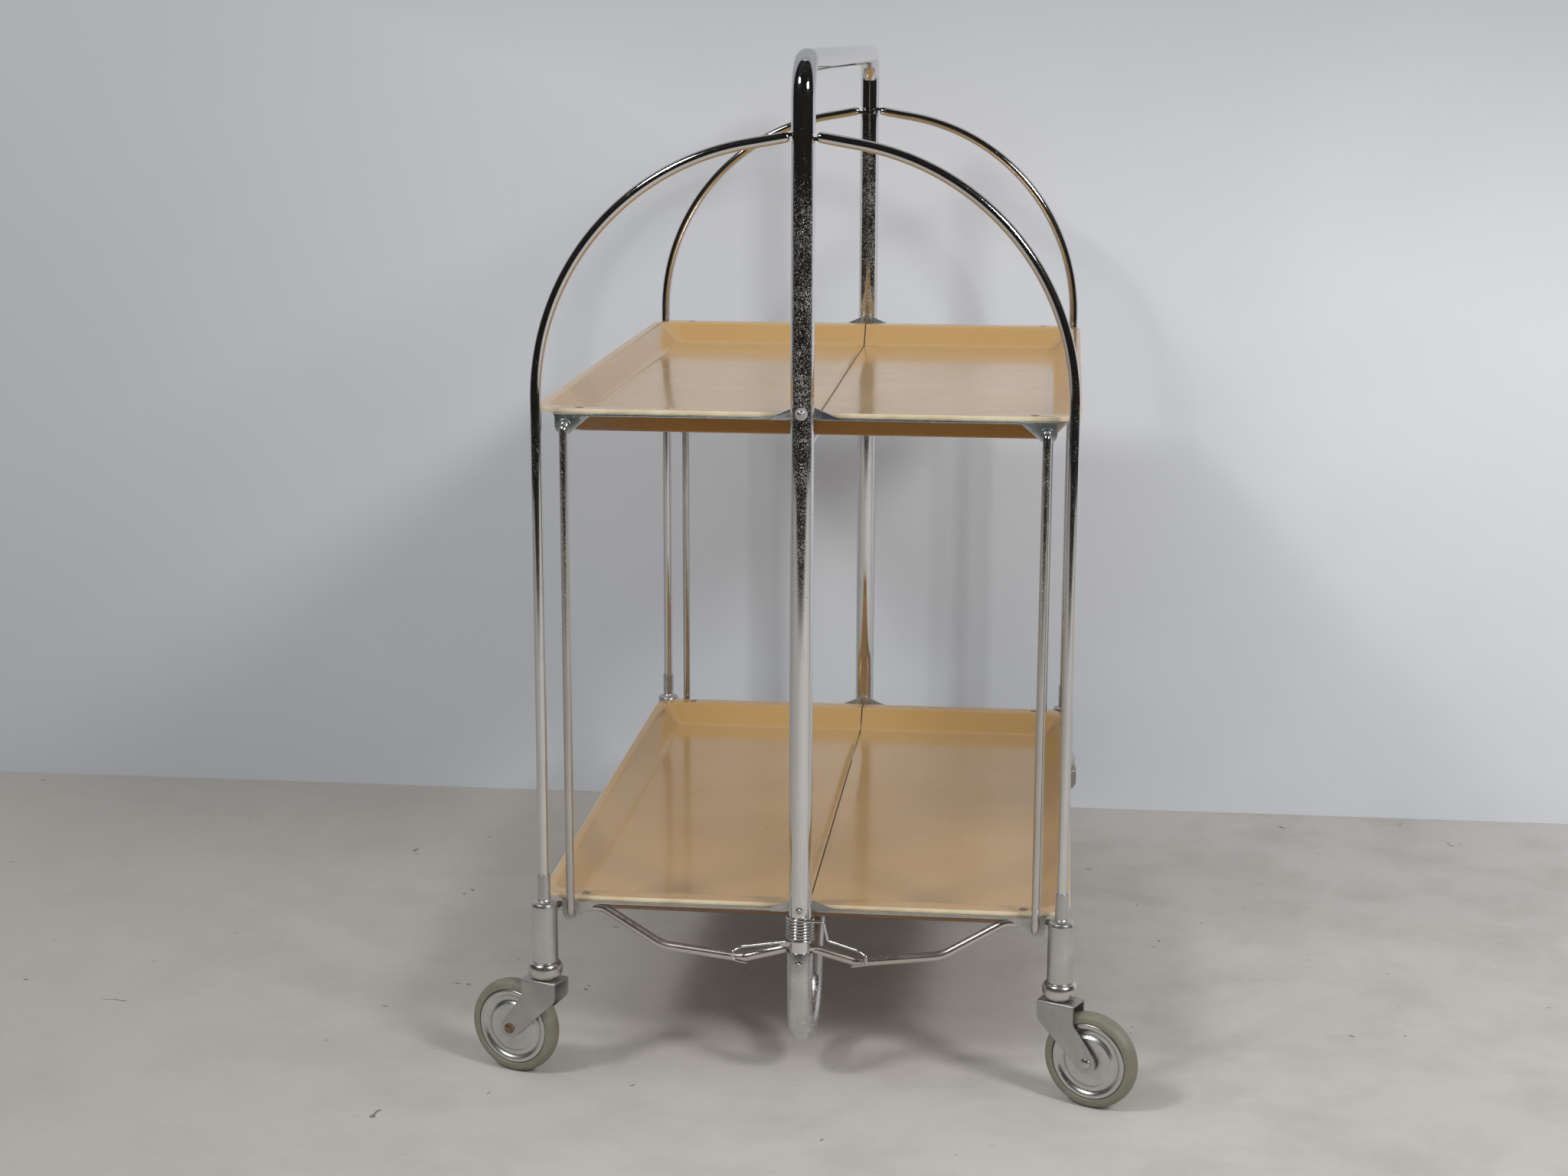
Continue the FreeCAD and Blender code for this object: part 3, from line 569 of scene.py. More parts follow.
def makeLaminate():
    # Moulded tray: thin tan resin over fibre, clouded in colour, with a satin varnish, painted shading that
    # turns the sloping walls a deeper tan, fine wipe marks on the floor, a pale line along the rim that is
    # partly worn edge and partly painted highlight, and dust.
    look = Named(
        tan=(0.470, 0.278, 0.095), pale=(0.520, 0.325, 0.130), deep=(0.485, 0.300, 0.118),
        rim=(0.70, 0.60, 0.42), under=(0.230, 0.100, 0.024), dust=(0.62, 0.58, 0.50))
    material, net, bsdf, coord = startMaterial("trayLaminate", Coat_Roughness=0.10, IOR=1.5)
    marks = useGroup(net, "handling", Vector=coord, Scale=0.7)
    dust = useGroup(net, "dust", Vector=coord, Amount=0.03)
    cloud = net.noise(coord, 5.5, 4, 0.55, 0.3)
    fibre = net.noise(net.stretch(coord, (260, 260, 60)), 1, 4, 0.7)
    upward = net.split(net.place("Normal"))[2]
    # painted shading: faces that slope away from level take a deeper, more saturated tan
    paintedSlopeShade = net.mapRange(upward, 0.98, 0.6)
    under = net.mapRange(upward, 0.05, -0.15)
    edge = net.add("Attribute", attribute_name="rim").outputs["Fac"]
    # partly worn edge, partly painted highlight: the outermost rings of the rim take a pale cream colour
    edgeWearAndHighlight = net.times(edge, net.mapRange(net.noise(coord, 60, 3), 0.25, 0.6, 0.55, 1))
    colour = net.mixColour(net.mapRange(cloud, 0.32, 0.68), look.tan, look.pale)
    colour = net.mixColour(net.times(paintedSlopeShade, 0.75), colour, look.deep)
    colour = net.mixColour(under, colour, look.under)
    colour = net.mixColour(net.mapRange(fibre, 0.35, 0.7, 0, 0.10), colour, look.deep)
    colour = net.mixColour(edgeWearAndHighlight, colour, look.rim)
    colour = net.mixColour(dust["Mask"], colour, look.dust)
    rough = net.math("ADD", net.mixValue(marks["Smear"], 0.22, 0.28), net.times(marks["Scratch"], 0.03))
    net.put(bsdf, Base_Color=colour, Roughness=net.mixValue(dust["Mask"], rough, 0.8),
            Coat_Weight=net.mixValue(marks["Smear"], 0.62, 0.48))
    bump(net, bsdf, net.math("ADD", net.times(fibre, 0.3), net.times(marks["Height"], 0.05)), 0.00002, 0.3)
    return material


def makeRubber():
    # Old olive-grey rubber: smooth, faintly mottled, with specks of dirt.
    look = Named(olive=(0.165, 0.155, 0.110), grey=(0.205, 0.195, 0.150), dirt=(0.30, 0.285, 0.245))
    material, net, bsdf, coord = startMaterial("tyreRubber", Specular_IOR_Level=0.4)
    mottle = net.noise(coord, 70, 3, 0.5)
    dirt = net.mapRange(net.noise(coord, 420, 5, 0.7), 0.56, 0.76, 0, 0.5)
    colour = net.mixColour(net.mapRange(mottle, 0.3, 0.7), look.olive, look.grey)
    colour = net.mixColour(dirt, colour, look.dirt)
    net.put(bsdf, Base_Color=colour, Roughness=net.mapRange(mottle, 0.3, 0.7, 0.40, 0.55))
    grain = net.noise(coord, 1400, 3, 0.6)
    bump(net, bsdf, net.math("ADD", net.times(grain, 0.4), net.times(dirt, 0.5)), 0.00004, 0.4)
    return material


laminate = makeLaminate()
rubber = makeRubber()
print("finishes made:", len(metals) + 2)


def makeHandleFrame():
    # Inverted U of tube: ring of the post's radius along the bent path, with the four slots for the
    # hinge tongues left out of the grid, given its wall by Solidify.
    look = Named(
        slotHeights=(697.5, 110.2), slotHalf=3.1, slotFrom=-29.0, slotTo=99.0, bottom=73.1, around=90,
        clear=0.6)
    r = trolley.postRadius
    bend, y, top = trolley.handleBend, trolley.postY, trolley.topHeight - r
    cuts = np.array([height + up * look.slotHalf for height in look.slotHeights for up in (-1, 1)])
    even = np.linspace(look.bottom, top - bend, 40)
    even = even[np.abs(even[:, None] - cuts).min(1) > look.clear]
    levels = np.unique(np.concatenate([even, cuts]))
    left = np.stack([np.full(len(levels), -y), levels], 1)
    over = bentPath((-y, top - bend), 90, [(bend, -90), 2 * (y - bend), (bend, -90)], 2.5)
    right = left[::-1] * np.array([-1, 1])
    path = acrossTrolley(np.concatenate([left, over[1:], right[1:]]))
    points = tubeGrid(path, r, around=look.around, caps=False)[0]
    ring = points.reshape(len(path), look.around, 3)
    middle = (ring[:-1] + ring[1:] + np.roll(ring, -1, 1)[:-1] + np.roll(ring, -1, 1)[1:]) / 4
    end = np.sign(middle[..., 1])
    # angle round the post from the gates' side towards the trolley's middle; the slots mirror each other
    inward = np.degrees(np.arctan2(-(middle[..., 1] - end * y) * end, np.abs(middle[..., 0])))
    onPost = np.abs(np.abs(middle[..., 1]) - y) < r + 1
    inSlot = (inward > look.slotFrom) & (inward < look.slotTo) & onPost
    keep = np.ones(middle.shape[:2], bool)
    for height in look.slotHeights:
        keep &= ~((np.abs(middle[..., 2] - height) < look.slotHalf) & inSlot)
    faces = gridFaces(len(path), look.around, True, keep)[:, ::-1]
    piece = meshPiece("handleFrame", [(points, faces)])
    giveWall(piece, trolley.postWall)
    finishPiece(piece, metals["postChrome"], "handle_frame", "frame", "handle_frame")


def makeLowerFrame():
    # Lower tube: ring along the path down, under the skids and across, with an open top that the post
    # stands in; Solidify gives its wall.
    look = Named(
        radius=9.5, wall=1.0, top=106.6, skidStart=72.5, skidBend=40.0, rise=76.0, barHeight=101.0,
        barBend=38.0, soften=0.3)
    y = trolley.postY
    rise = math.radians(look.rise)
    afterY = -y + look.skidBend * (1 + math.sin(rise))
    afterZ = look.skidStart - look.skidBend * math.cos(rise)
    climb = look.barBend * (1 - math.cos(rise))
    slope = (look.barHeight - afterZ - climb) / math.sin(rise)
    barY = afterY + slope * math.cos(rise) + look.barBend * math.sin(rise)
    skid, level = (look.skidBend, 90 + look.rise), (look.barBend, -look.rise)
    upright = look.top - look.skidStart
    steps = [upright, skid, slope, level, -2 * barY, level, slope, skid, upright]
    path = acrossTrolley(bentPath((-y, look.top), -90, steps, 3.0))
    piece = meshPiece("lowerFrame", [tubeGrid(path, look.radius, around=56, caps=False)])
    giveWall(piece, look.wall, look.soften)
    finishPiece(piece, metals["tubeSatin"], "lower_frame", "frame", "lower_frame")


def makeSprings():
    # Torsion springs: the coil's centre line is the coil radius at an angle that grows with the height,
    # and both ends run on into a leg that hooks round the front of a rail.
    look = Named(
        wire=2.0, coil=9.8, turns=7, pitch=2.35, bottom=115.4, arm=18.0, lean=3.0,
        hook=[(44.0, -3.5, 109.0), (49.4, -7.5, 106.6), (49.0, -7.5, 100.4), (38.6, -7.5, 98.4)],
        hookBends=[6, 2.6, 2.4], lowBends=[12], highBends=[2, 2])
    wire, r = look.wire / 2, look.coil
    bottom = look.bottom + wire
    top = bottom + look.turns * look.pitch
    a = np.linspace(0, look.turns * 2 * math.pi, look.turns * 48 + 1)
    outward = np.stack([np.sin(a), -np.cos(a), 0 * a], 1)
    coil = r * outward
    coil[:, 2] = bottom + (top - bottom) * a / a[-1]

    def leg(height, side, bends, radii):
        hook = [(side * x, y, z) for x, y, z in look.hook]
        return roundedLine([(0, -r, height)] + bends + hook, radii + look.hookBends)

    low = leg(bottom, -1, [(-r, -r, bottom)], look.lowBends)
    arm = [(look.arm, -r, top), (look.arm + look.lean, -r + 3, bottom + 1)]
    high = leg(top, 1, arm, look.highBends)
    path = np.concatenate([low[::-1], coil[1:-1], high])
    forward = np.array([[0.0, -1.0, 0.0]])
    sides = np.concatenate([np.repeat(forward, len(low), 0), outward[1:-1], np.repeat(forward, len(high), 0)])
    parts = [tubeGrid(path, wire, around=16, sides=sides)]
    y = trolley.postY
    piece = meshPiece("gateSprings", placed(parts, y=-y) + placed(parts, 180, y=y))
    finishPiece(piece, metals["springChrome"], "gate_springs", "frame", "gate_springs")


def makeCrossbar():
    # Thin bar between the posts, with its ends sunk a little into them.
    look = Named(radius=4.5, height=477.0, sunk=0.4)
    y = trolley.postY - trolley.postRadius + look.sunk
    path = acrossTrolley(np.stack([np.linspace(-y, y, 24), np.full(24, look.height)], 1))
    piece = meshPiece("upperCrossbar", [tubeGrid(path, look.radius)])
    finishPiece(piece, metals["legChrome"], "upper_crossbar", "frame", "upper_crossbar")


makeHandleFrame()
makeLowerFrame()
makeSprings()
makeCrossbar()
print("centre frame made")


def mergeClose(piece):
    # Joins points that meet at the seam's ends.
    near = 0.01 * mm
    mesh = bmesh.new()
    mesh.from_mesh(piece.data)
    bmesh.ops.remove_doubles(mesh, verts=mesh.verts, dist=near)
    bmesh.ops.dissolve_degenerate(mesh, edges=mesh.edges, dist=near)
    mesh.to_mesh(piece.data)
    mesh.free()
    piece.data.update()


def makeTray(level, pivot, side):
    # Half tray. Its top surface is a set of rounded U-shaped rings from the rim inwards: each ring has
    # its own half width, half length, corner and height, and the last one closes on the seam. The wall
    # comes from Solidify.
    look = Named(
        halfX=197.0, halfY=292.5, corner=24.0, sideFlange=7.0, endFlange=15.0, depth=17.5, run=16.0,
        fillet=8.0, thick=3.2, seam=0.5, soften=0.45, insets=(0, 0.5, 1.1, 3.0), lip=1.6, lipDrop=0.12,
        steps=(0.04, 0.12, 0.3, 0.5, 0.7), stepDrop=0.10, cornerLoss=0.55, cornerLeast=6.0)
    inner, lip = look.corner - look.sideFlange, look.lip
    openX, openY = look.halfX - look.sideFlange, look.halfY - look.endFlange
    slope = math.atan2(look.depth, look.run)
    lift = look.fillet * math.tan(slope / 2)

    def wallRow(run, z):
        return openX - run, openY - run, max(inner - run * look.cornerLoss, look.cornerLeast), z

    # rows of half width, half length, corner radius and height: the flange, its lip, the sloping wall
    rows = [(look.halfX - inset, look.halfY - inset, look.corner - inset, 0.0) for inset in look.insets]
    rows.append((openX + lip, openY + lip, inner + lip, 0.0))
    rows.append((openX + lip * 0.4, openY + lip * 0.4, inner + lip * 0.5, -look.lipDrop))
    for t in look.steps:
        rows.append(wallRow(t * look.run, -t * look.depth - look.stepDrop))
    # floor fillet: an arc that turns from the wall's slope to level
    startRun = look.run - lift * math.cos(slope)
    startZ = -look.depth + lift * math.sin(slope)
    for a in np.linspace(0, slope, 8):
        run = startRun + look.fillet * (math.sin(slope) - math.sin(slope - a))
        rows.append(wallRow(run, startZ - look.fillet * (math.cos(slope - a) - math.cos(slope))))
    rows = np.array(rows)
    hx, hy, rc, z = [rows[:, k][:, None] for k in range(4)]
    # each ring: along the near end, round the corner, along the side, round the corner, back
    t = np.linspace(0, 1, 16)[None, :]
    a = np.linspace(0, math.pi / 2, 14)[None, 1:]
    s = np.linspace(0, 1, 24)[None, 1:]
    x1 = look.seam + t * (hx - rc - look.seam)
    x2 = x1[:, ::-1][:, 1:]
    ringX = np.concatenate([x1, hx - rc + rc * np.sin(a), hx + 0 * s, hx - rc + rc * np.cos(a), x2], 1)
    ringY = np.concatenate([-hy + 0 * x1, -hy + rc - rc * np.cos(a), -(hy - rc) + s * 2 * (hy - rc),
                            hy - rc + rc * np.sin(a), hy + 0 * x2], 1)
    ringZ = np.broadcast_to(z, ringX.shape)
    # floor: the last ring drawn in towards the seam line
    share = np.linspace(0, 1, 14)[1:, None]
    seamY = -hy[-1] + 2 * hy[-1] * np.linspace(0, 1, ringX.shape[1])[None, :]
    floorX = ringX[-1:] + (look.seam - ringX[-1:]) * share
    floorY = ringY[-1:] + (seamY - ringY[-1:]) * share
    allX, allY = np.concatenate([ringX, floorX]), np.concatenate([ringY, floorY])
    allZ = np.concatenate([ringZ, np.full(floorX.shape, rows[-1, 3])])
    points = np.stack([allX, allY, allZ + pivot - trolley.rimDrop], -1).reshape(-1, 3)
    piece = meshPiece(level + ("Right" if side > 0 else "Left") + "Tray",
                      placed([(points, gridFaces(*allX.shape, False))], 0 if side > 0 else 180), 60)
    rim = np.zeros(allX.shape)  # how much pale edge colour the outermost rings take, partly wear and partly painted highlight
    rim[0] = 1.0
    rim[1] = 0.6
    piece.data.attributes.new("rim", "FLOAT", "POINT").data.foreach_set("value", rim.ravel())
    mergeClose(piece)
    giveWall(piece, look.thick, look.soften)
    name = level + ("_right" if side > 0 else "_left")
    finishPiece(piece, laminate, "tray", name + "_half", name + "_tray")


for level, pivot in (("upper", trolley.upperPivot), ("lower", trolley.lowerPivot)):
    for side in (1, -1):
        makeTray(level, pivot, side)
print("trays made")


def makeRod(corner):
    # Hooked rod: round wire along a flat C, with a washer behind each ear.
    look = Named(
        radius=3.2, drop=14.0, offset=4.8, bend=3.6, tail=12.2, play=0.05, washer=5.5, front=10.5, thick=0.8)
    top, bottom = trolley.upperPivot - look.drop, trolley.lowerPivot - look.drop
    stub, bend = look.tail - look.offset - look.bend, (look.bend, 90)
    steps = [stub, bend, top - bottom - 2 * look.bend, bend, stub]
    path = acrossTrolley(bentPath((look.tail, top), 180, steps, 0.8), trolley.rodX)
    parts = [tubeGrid(path, look.radius, around=32)]
    hole, wide, thick = look.radius + look.play, look.washer, look.thick
    points, faces = latheGrid(softProfile([(hole, 0), (wide, 0), (wide, thick), (hole, thick)], 0.2), 32)
    for z in (top, bottom):  # the washer's axis lies along Y
        flat = np.stack([points[:, 0] + trolley.rodX, points[:, 2] + look.front, -points[:, 1] + z], 1)
        parts.append((flat, faces))
    cornerPiece(corner, "Rod", parts, "rodChrome", "rod", "link")


def tongueParts(height, upperLap):
    # Flat tongue: a bar with soft edges that ends in a round eye on the hinge pin. Its outline is a
    # circle of the eye's radius that runs on as two straight sides.
    look = Named(thick=2.6, width=6.0, eye=5.0, lap=0.3, start=14.5, hole=2.05)
    low = height + look.lap / 2 if upperLap else height - look.lap / 2 - look.thick
    high = low + look.thick
    half = look.width / 2
    a0 = math.asin(half / look.eye)
    a = np.linspace(a0, 2 * math.pi - a0, 40)
    eye = look.eye * np.stack([np.cos(a), np.sin(a)], 1)
    ends = np.array([[look.start, -half], [look.start, half]])
    outer = np.concatenate([ends[1:], eye, ends[:1]])
    b = np.concatenate([[0.02], a, [2 * math.pi - 0.02]])
    inner = look.hole * np.stack([np.cos(b), np.sin(b)], 1)
    rings = [np.concatenate([ring, np.full((len(ring), 1), z)], 1)
             for ring, z in ((inner, low), (outer, low), (outer, high), (inner, high))]
    return np.concatenate(rings), gridFaces(4, len(outer), True, closeRows=True)


def makeLeg(corner):
    # Arch leg: out from the post at a slope, round the arch's bend and straight down.
    look = Named(
        radius=4.0, start=9.5, height=697.5, slope=10.0, bend=183.0, seat=128.05,
        pinchAt=(0.0, 0.5, 1.4, 3.2, 6.0), pinch=(0.5, 0.72, 0.88, 0.97, 1.0))
    s = math.radians(look.slope)
    run = trolley.gateX - look.start - look.bend * (1 - math.sin(s))
    drop = run * math.tan(s) + look.bend * math.cos(s)
    steps = [run / math.cos(s), (look.bend, look.slope - 90), look.height - drop - look.seat]
    flat = bentPath((look.start, look.height), -look.slope, steps, 5.0)
    path = np.stack([flat[:, 0], np.zeros(len(flat)), flat[:, 1]], 1)
    tube = pinchedTube(path, look.radius, look.pinchAt, look.pinch, (0, 1, 0), 40)
    parts = [tube, tongueParts(look.height, isLeft(corner))]
    cornerPiece(corner, "ArchLeg", parts, "legChrome", "arch_leg")


def makeRail(corner):
    # Gull-wing rail: a bent line in space with an arc at each corner.
    look = Named(
        radius=3.5, start=9.4, height=110.2, startDrop=1.6, dip=(43.0, 2.0, 98.8), kink=(104.0, 9.4, 103.3),
        rise=(150.0, 17.0, 128.5), hook=5.0, hookEnd=(2.0, 6.5), bends=[30, 30, 16, 8],
        pinchAt=(0.0, 0.6, 1.6, 3.6), pinch=(0.6, 0.8, 0.94, 1.0))
    g = trolley.gateX
    riseY, riseZ = look.rise[1:]
    start = (look.start, 0, look.height - look.startDrop)
    end = (g - look.hookEnd[0], look.hookEnd[1], riseZ)
    line = [start, look.dip, look.kink, look.rise, (g - look.hook, riseY, riseZ), end]
    path = roundedLine(line, look.bends)
    tube = pinchedTube(path, look.radius, look.pinchAt, look.pinch, (0, 0, 1), 32)
    parts = [tube, tongueParts(look.height, isLeft(corner))]
    cornerPiece(corner, "LowerRail", parts, "railChrome", "lower_rail")


def makeSleeve(corner):
    # Turned sleeve: straight body, domed shoulder and a slim neck round the leg.
    look = Named(
        radius=9.7, wall=1.5, bottom=91.0, shoulder=134.5, dome=3.8, neck=4.85, neckTop=158.5, leg=4.02,
        seat=128.0)
    r, neck, leg, low, shoulder = look.radius, look.neck, look.leg, look.bottom, look.shoulder
    bore, dome = r - look.wall, shoulder + look.dome
    line = [(bore, low), (r, low), (r, shoulder), (r * 0.93, shoulder + 2.0), (r * 0.74, dome - 0.5),
            (neck + 0.5, dome), (neck, dome + 1.0), (neck, look.neckTop), (leg, look.neckTop),
            (leg, look.seat), (bore, look.seat - 2)]
    profile = softProfile(line, [0.3, 0.5, 1.2, 1.0, 1.0, 0.5, 0.6, 0.35, 0.1, 0.1, 0.1])
    parts = placed([latheGrid(profile, 56)], x=trolley.gateX)
    cornerPiece(corner, "Sleeve", parts, "sleeveNickel", "caster_sleeve")


def makeSocket(corner):
    # Turned insert with a barrel-shaped collar, hollow for the caster's stem. The collar bulges by a
    # power of the cosine of an angle whose sine gives the height.
    look = Named(
        collar=13.0, bottom=79.0, top=91.0, plug=8.15, plugTop=124.0, bore=4.05, lip=9.0, end=121.0,
        bulgeTo=82.0)
    low, high, bore, lip = look.bottom, look.top, look.bore, look.lip
    a = np.radians(np.linspace(-look.bulgeTo, look.bulgeTo, 15))
    wide = lip + (look.collar - lip) * np.cos(a) ** 0.75
    bulge = np.stack([wide, (high + low) / 2 + (high - low) / 2 * np.sin(a) / np.sin(a[-1])], 1)
    profile = np.concatenate([
        [(0, look.end), (bore, look.end), (bore, low), (lip - 0.6, low)], bulge,
        [(look.plug, high), (look.plug, look.plugTop), (0, look.plugTop)]])
    parts = placed([latheGrid(profile, 56, closed=False)], x=trolley.gateX)
    cornerPiece(corner, "Socket", parts, "collarChrome", "caster_socket")


for corner in corners:
    makeRod(corner)
    makeLeg(corner)
    makeRail(corner)
    makeSleeve(corner)
    makeSocket(corner)
print("rods and gates made")


def makeWheel(corner):
    look = Named(
        trail=26.5, radius=36.0, half=6.5, lip=28.9, inner=25.5, seat=4.3, round=5.0, sheet=0.9,
        hub=5.5, hubHalf=8.2, bore=2.55, forkHalf=10.3, head=1.6,
        disc=[(5.55, 6.15), (9.0, 6.2), (16.6, 6.2), (18.0, 5.9), (19.4, 4.9), (20.6, 4.4), (22.4, 4.4),
              (23.6, 4.8), (24.6, 5.6), (25.6, 6.1), (26.8, 6.22), (27.8, 6.1), (28.4, 5.7), (28.6, 5.2)],
        axleFinish="rivetNickel" if corner == "near_right" else "axleSteel")  # one kept its plating

    def aboutAxle(parts):  # shapes turned about Z go onto the wheel's axle, which lies along Y
        return [(np.stack([p[:, 0] + look.trail, -p[:, 2], p[:, 1] + look.radius], 1), f) for p, f in parts]

    # tyre: a rounded tread between two flat sides, with a groove against the rim; the tread falls by a
    # power of the cosine while its width follows a power of the sine
    h, lip, inner, seat = look.half, look.lip, look.inner, look.seat
    a = np.radians(np.linspace(-90, 90, 17))
    tread = np.stack([look.radius - look.round * (1 - np.cos(a) ** 0.9),
                      (h - 0.02) * np.sign(np.sin(a)) * np.abs(np.sin(a)) ** 0.85], 1)
    flank = np.array([(inner, seat), (lip, seat), (lip, h - 0.5), (lip + 0.6, h)])
    tyre = [latheGrid(np.concatenate([flank * np.array([1, -1]), tread[1:-1], flank[::-1]]), 128)]
    # disc: flat centre, dished trough and rolled edge, on both sides of a hub
    front = smoothLine(np.array(look.disc), 52)
    back = front[::-1] - np.array([0, look.sheet])
    points, faces = latheGrid(np.concatenate([front, back]), 128)
    faces = [tuple(f)[::-1] for f in faces]
    hub, out, bore = look.hub, look.hubHalf, look.bore
    hubLine = softProfile([(bore, -out), (hub, -out), (hub, out), (bore, out)], 0.4)
    rims = [(points, faces), (points * np.array([1, -1, -1]), faces), latheGrid(hubLine, 48)]
    # axle: riveted ends with low domes
    d, e = look.forkHalf, look.forkHalf + look.head
    axleLine = [(0, -e), (1.6, -e), (3.6, -d - 0.9), (4.1, -d), (2.5, -d),
                (2.5, d), (4.1, d), (3.6, d + 0.9), (1.6, e), (0, e)]
    axleLine = softProfile(axleLine, [0, 0.6, 0.6, 0.3, 0, 0, 0.3, 0.6, 0.6, 0], closed=False)
    axle = [latheGrid(axleLine, 40, closed=False)]
    side, end, turn = corners[corner]
    x, y = side * trolley.gateX, end * trolley.postY
    for label, parts, material, slotName in (
            ("Tyre", tyre, rubber, "tyre"), ("Rim", rims, metals["rimZinc"], "wheel_rim"),
            ("Axle", axle, metals[look.axleFinish], "axle")):
        piece = meshPiece(corner + label, placed(aboutAxle(parts), turn, x, y), 30)
        nodeName = corner + "_" + slotName
        finishPiece(piece, material, slotName, bodyOf(nodeName), nodeName)


for corner in corners:
    makeWheel(corner)
print("wheels made")

# small parts keep the drawing's own shape
kept = {"frame_rivets": "rivetNickel", "tray_pivot_pins": "rivetNickel", "gate_hinge_pins": "innerSteel",
        "hinge_plugs": "innerSteel"}
for corner in corners:
    kept[corner + "_stem"] = "innerSteel"
for name in ("upper_left", "upper_right", "lower_left", "lower_right"):
    kept[name + "_screws"] = "screwHeads"
for name, finish in kept.items():
    for slot in nodes[name].material_slots:
        slot.material = metals[finish]


def softCopy(nodeName, pieceName, finish, slotName, width):
    # A plate of the drawing with its flat faces joined up and its edges rounded over.
    mesh = bmesh.new()
    mesh.from_mesh(nodes[nodeName].data)
    bmesh.ops.remove_doubles(mesh, verts=mesh.verts, dist=0.002 * mm)
    bmesh.ops.dissolve_limit(mesh, angle_limit=math.radians(0.6), verts=mesh.verts, edges=mesh.edges)
    data = bpy.data.meshes.new(pieceName)
    mesh.to_mesh(data)
    mesh.free()
    piece = addObject(pieceName, data)
    roundEdges(piece, width, 3, 35)
    keepResult(piece, 32)
    finishPiece(piece, metals[finish], slotName, bodyOf(nodeName), nodeName)


# the lower brackets take the painted-shade copy of the bracket zinc
for level, finish in (("upper", "bracketZinc"), ("lower", "bracketZincShaded")):
    for side in ("left", "right"):
        nodeName, pieceName = level + "_" + side + "_brackets", level + side.title() + "Brackets"
        softCopy(nodeName, pieceName, finish, "brackets", 0.35)
for corner in corners:
    softCopy(corner + "_fork", corner + "Fork", "forkZinc", "fork", 0.4)
print("kept parts dressed:", len(kept))


def makeRoom():
    # Floor and wall of a plain studio. Smudges and marks lie on the floor. Painted shade darkens the floor to
    # the left and the wall to the left and towards the top, and polished metal sees the floor painted dark
    # further out in front, where a studio's light ends.
    look = Named(
        wallY=0.43, size=5, wallTop=4, litTo=(-1.55, -2.15), mark=(0.10, 0.085, 0.07),
        floor=((0.575, 0.545, 0.505), (0.375, 0.350, 0.315)),
        wall=((0.740, 0.757, 0.790), (0.37, 0.38, 0.395)), unlit=(0.012, 0.011, 0.010))
    y, far, top = look.wallY, look.size, look.wallTop
    for name, (pale, dark), outline in (
            ("floor", look.floor, [(-far, -far, 0), (far, -far, 0), (far, far, 0), (-far, far, 0)]),
            ("wall", look.wall, [(-far, y, 0), (far, y, 0), (far, y, top), (-far, y, top)])):
        mesh = bpy.data.meshes.new(name)
        mesh.from_pydata(outline, [], [(0, 1, 2, 3)])
        piece = addObject(name, mesh)
        material, net, bsdf, coord = startMaterial(name + "Paint", Specular_IOR_Level=0.15)
        mesh.materials.append(material)
        place = net.split(coord)
        cloud = net.noise(coord, 1.6, 4.0, 0.55)
        tone = net.mixColour(net.mapRange(cloud, 0.35, 0.65, 0.0, 0.2), pale, dark)
        if name == "floor":
            # painted shade: the floor darker to the left, where less light falls
            left = net.mapRange(place[0], 0.25, -0.75, 0.0, 0.75, smooth=True)
            tone = net.mixColour(left, tone, dark)
            smudge = net.noise(coord, 9.0, 9.0, 0.68, 0.15)
            tone = net.mixColour(net.mapRange(smudge, 0.44, 0.66, 0.0, 0.42), tone, dark)
            speck = net.mapRange(net.noise(coord, 46.0, 2.0, 0.35, 1.2), 0.765, 0.79)
            tone = net.mixColour(net.times(speck, 0.75), tone, look.mark)
            scuff = net.noise(net.stretch(coord, (0.6, 2.4, 1.0)), 21.0, 8.0, 0.75, 1.5)
            tone = net.mixColour(net.times(net.mapRange(scuff, 0.69, 0.73), 0.4), tone, look.mark)
            # painted shade: seen by polished metal alone, the floor turns dark further out in front, standing
            # in for the unlit room
            away = net.mapRange(place[1], *look.litTo, 0.0, 0.97, smooth=True)
            seen = net.add("LightPath").outputs["Is Glossy Ray"]
            tone = net.mixColour(net.times(away, seen), tone, look.unlit)
        else:  # painted shade: darker to the left and towards the top, where less light falls
            left = net.math("ADD", place[0], net.times(place[2], -0.3))
            left = net.mapRange(left, 0.35, -1.1, 0.0, 0.75, smooth=True)
            high = net.mapRange(place[2], 0.40, 1.05, smooth=True)
            tone = net.mixColour(net.math("MAXIMUM", left, high), tone, dark)
        grain = net.noise(coord, 60.0, 6.0, 0.7)
        net.put(bsdf, Base_Color=tone, Roughness=net.mapRange(grain, 0.3, 0.7, 0.6, 0.8))
        if name == "wall":  # seen from behind, the wall lets the view through
            clear = net.add("BsdfTransparent").outputs[0]
            behind = net.add("NewGeometry").outputs["Backfacing"]
            mix = net.fill(net.add("MixShader"), [(0, behind), (1, bsdf.outputs[0]), (2, clear)])
            net.link(mix.outputs[0], material.node_tree.nodes["Material Output"].inputs["Surface"])


def makeLamp(name, place, power):
    data = bpy.data.lights.new(name, "AREA")
    data.shape = "RECTANGLE"
    data.size = data.size_y = 0.5
    data.energy = power
    lamp = addObject(name, data)
    lamp.location = place
    aim = Vector((0, 0, 0.4)) - Vector(place)
    lamp.rotation_euler = aim.to_track_quat("-Z", "Y").to_euler()


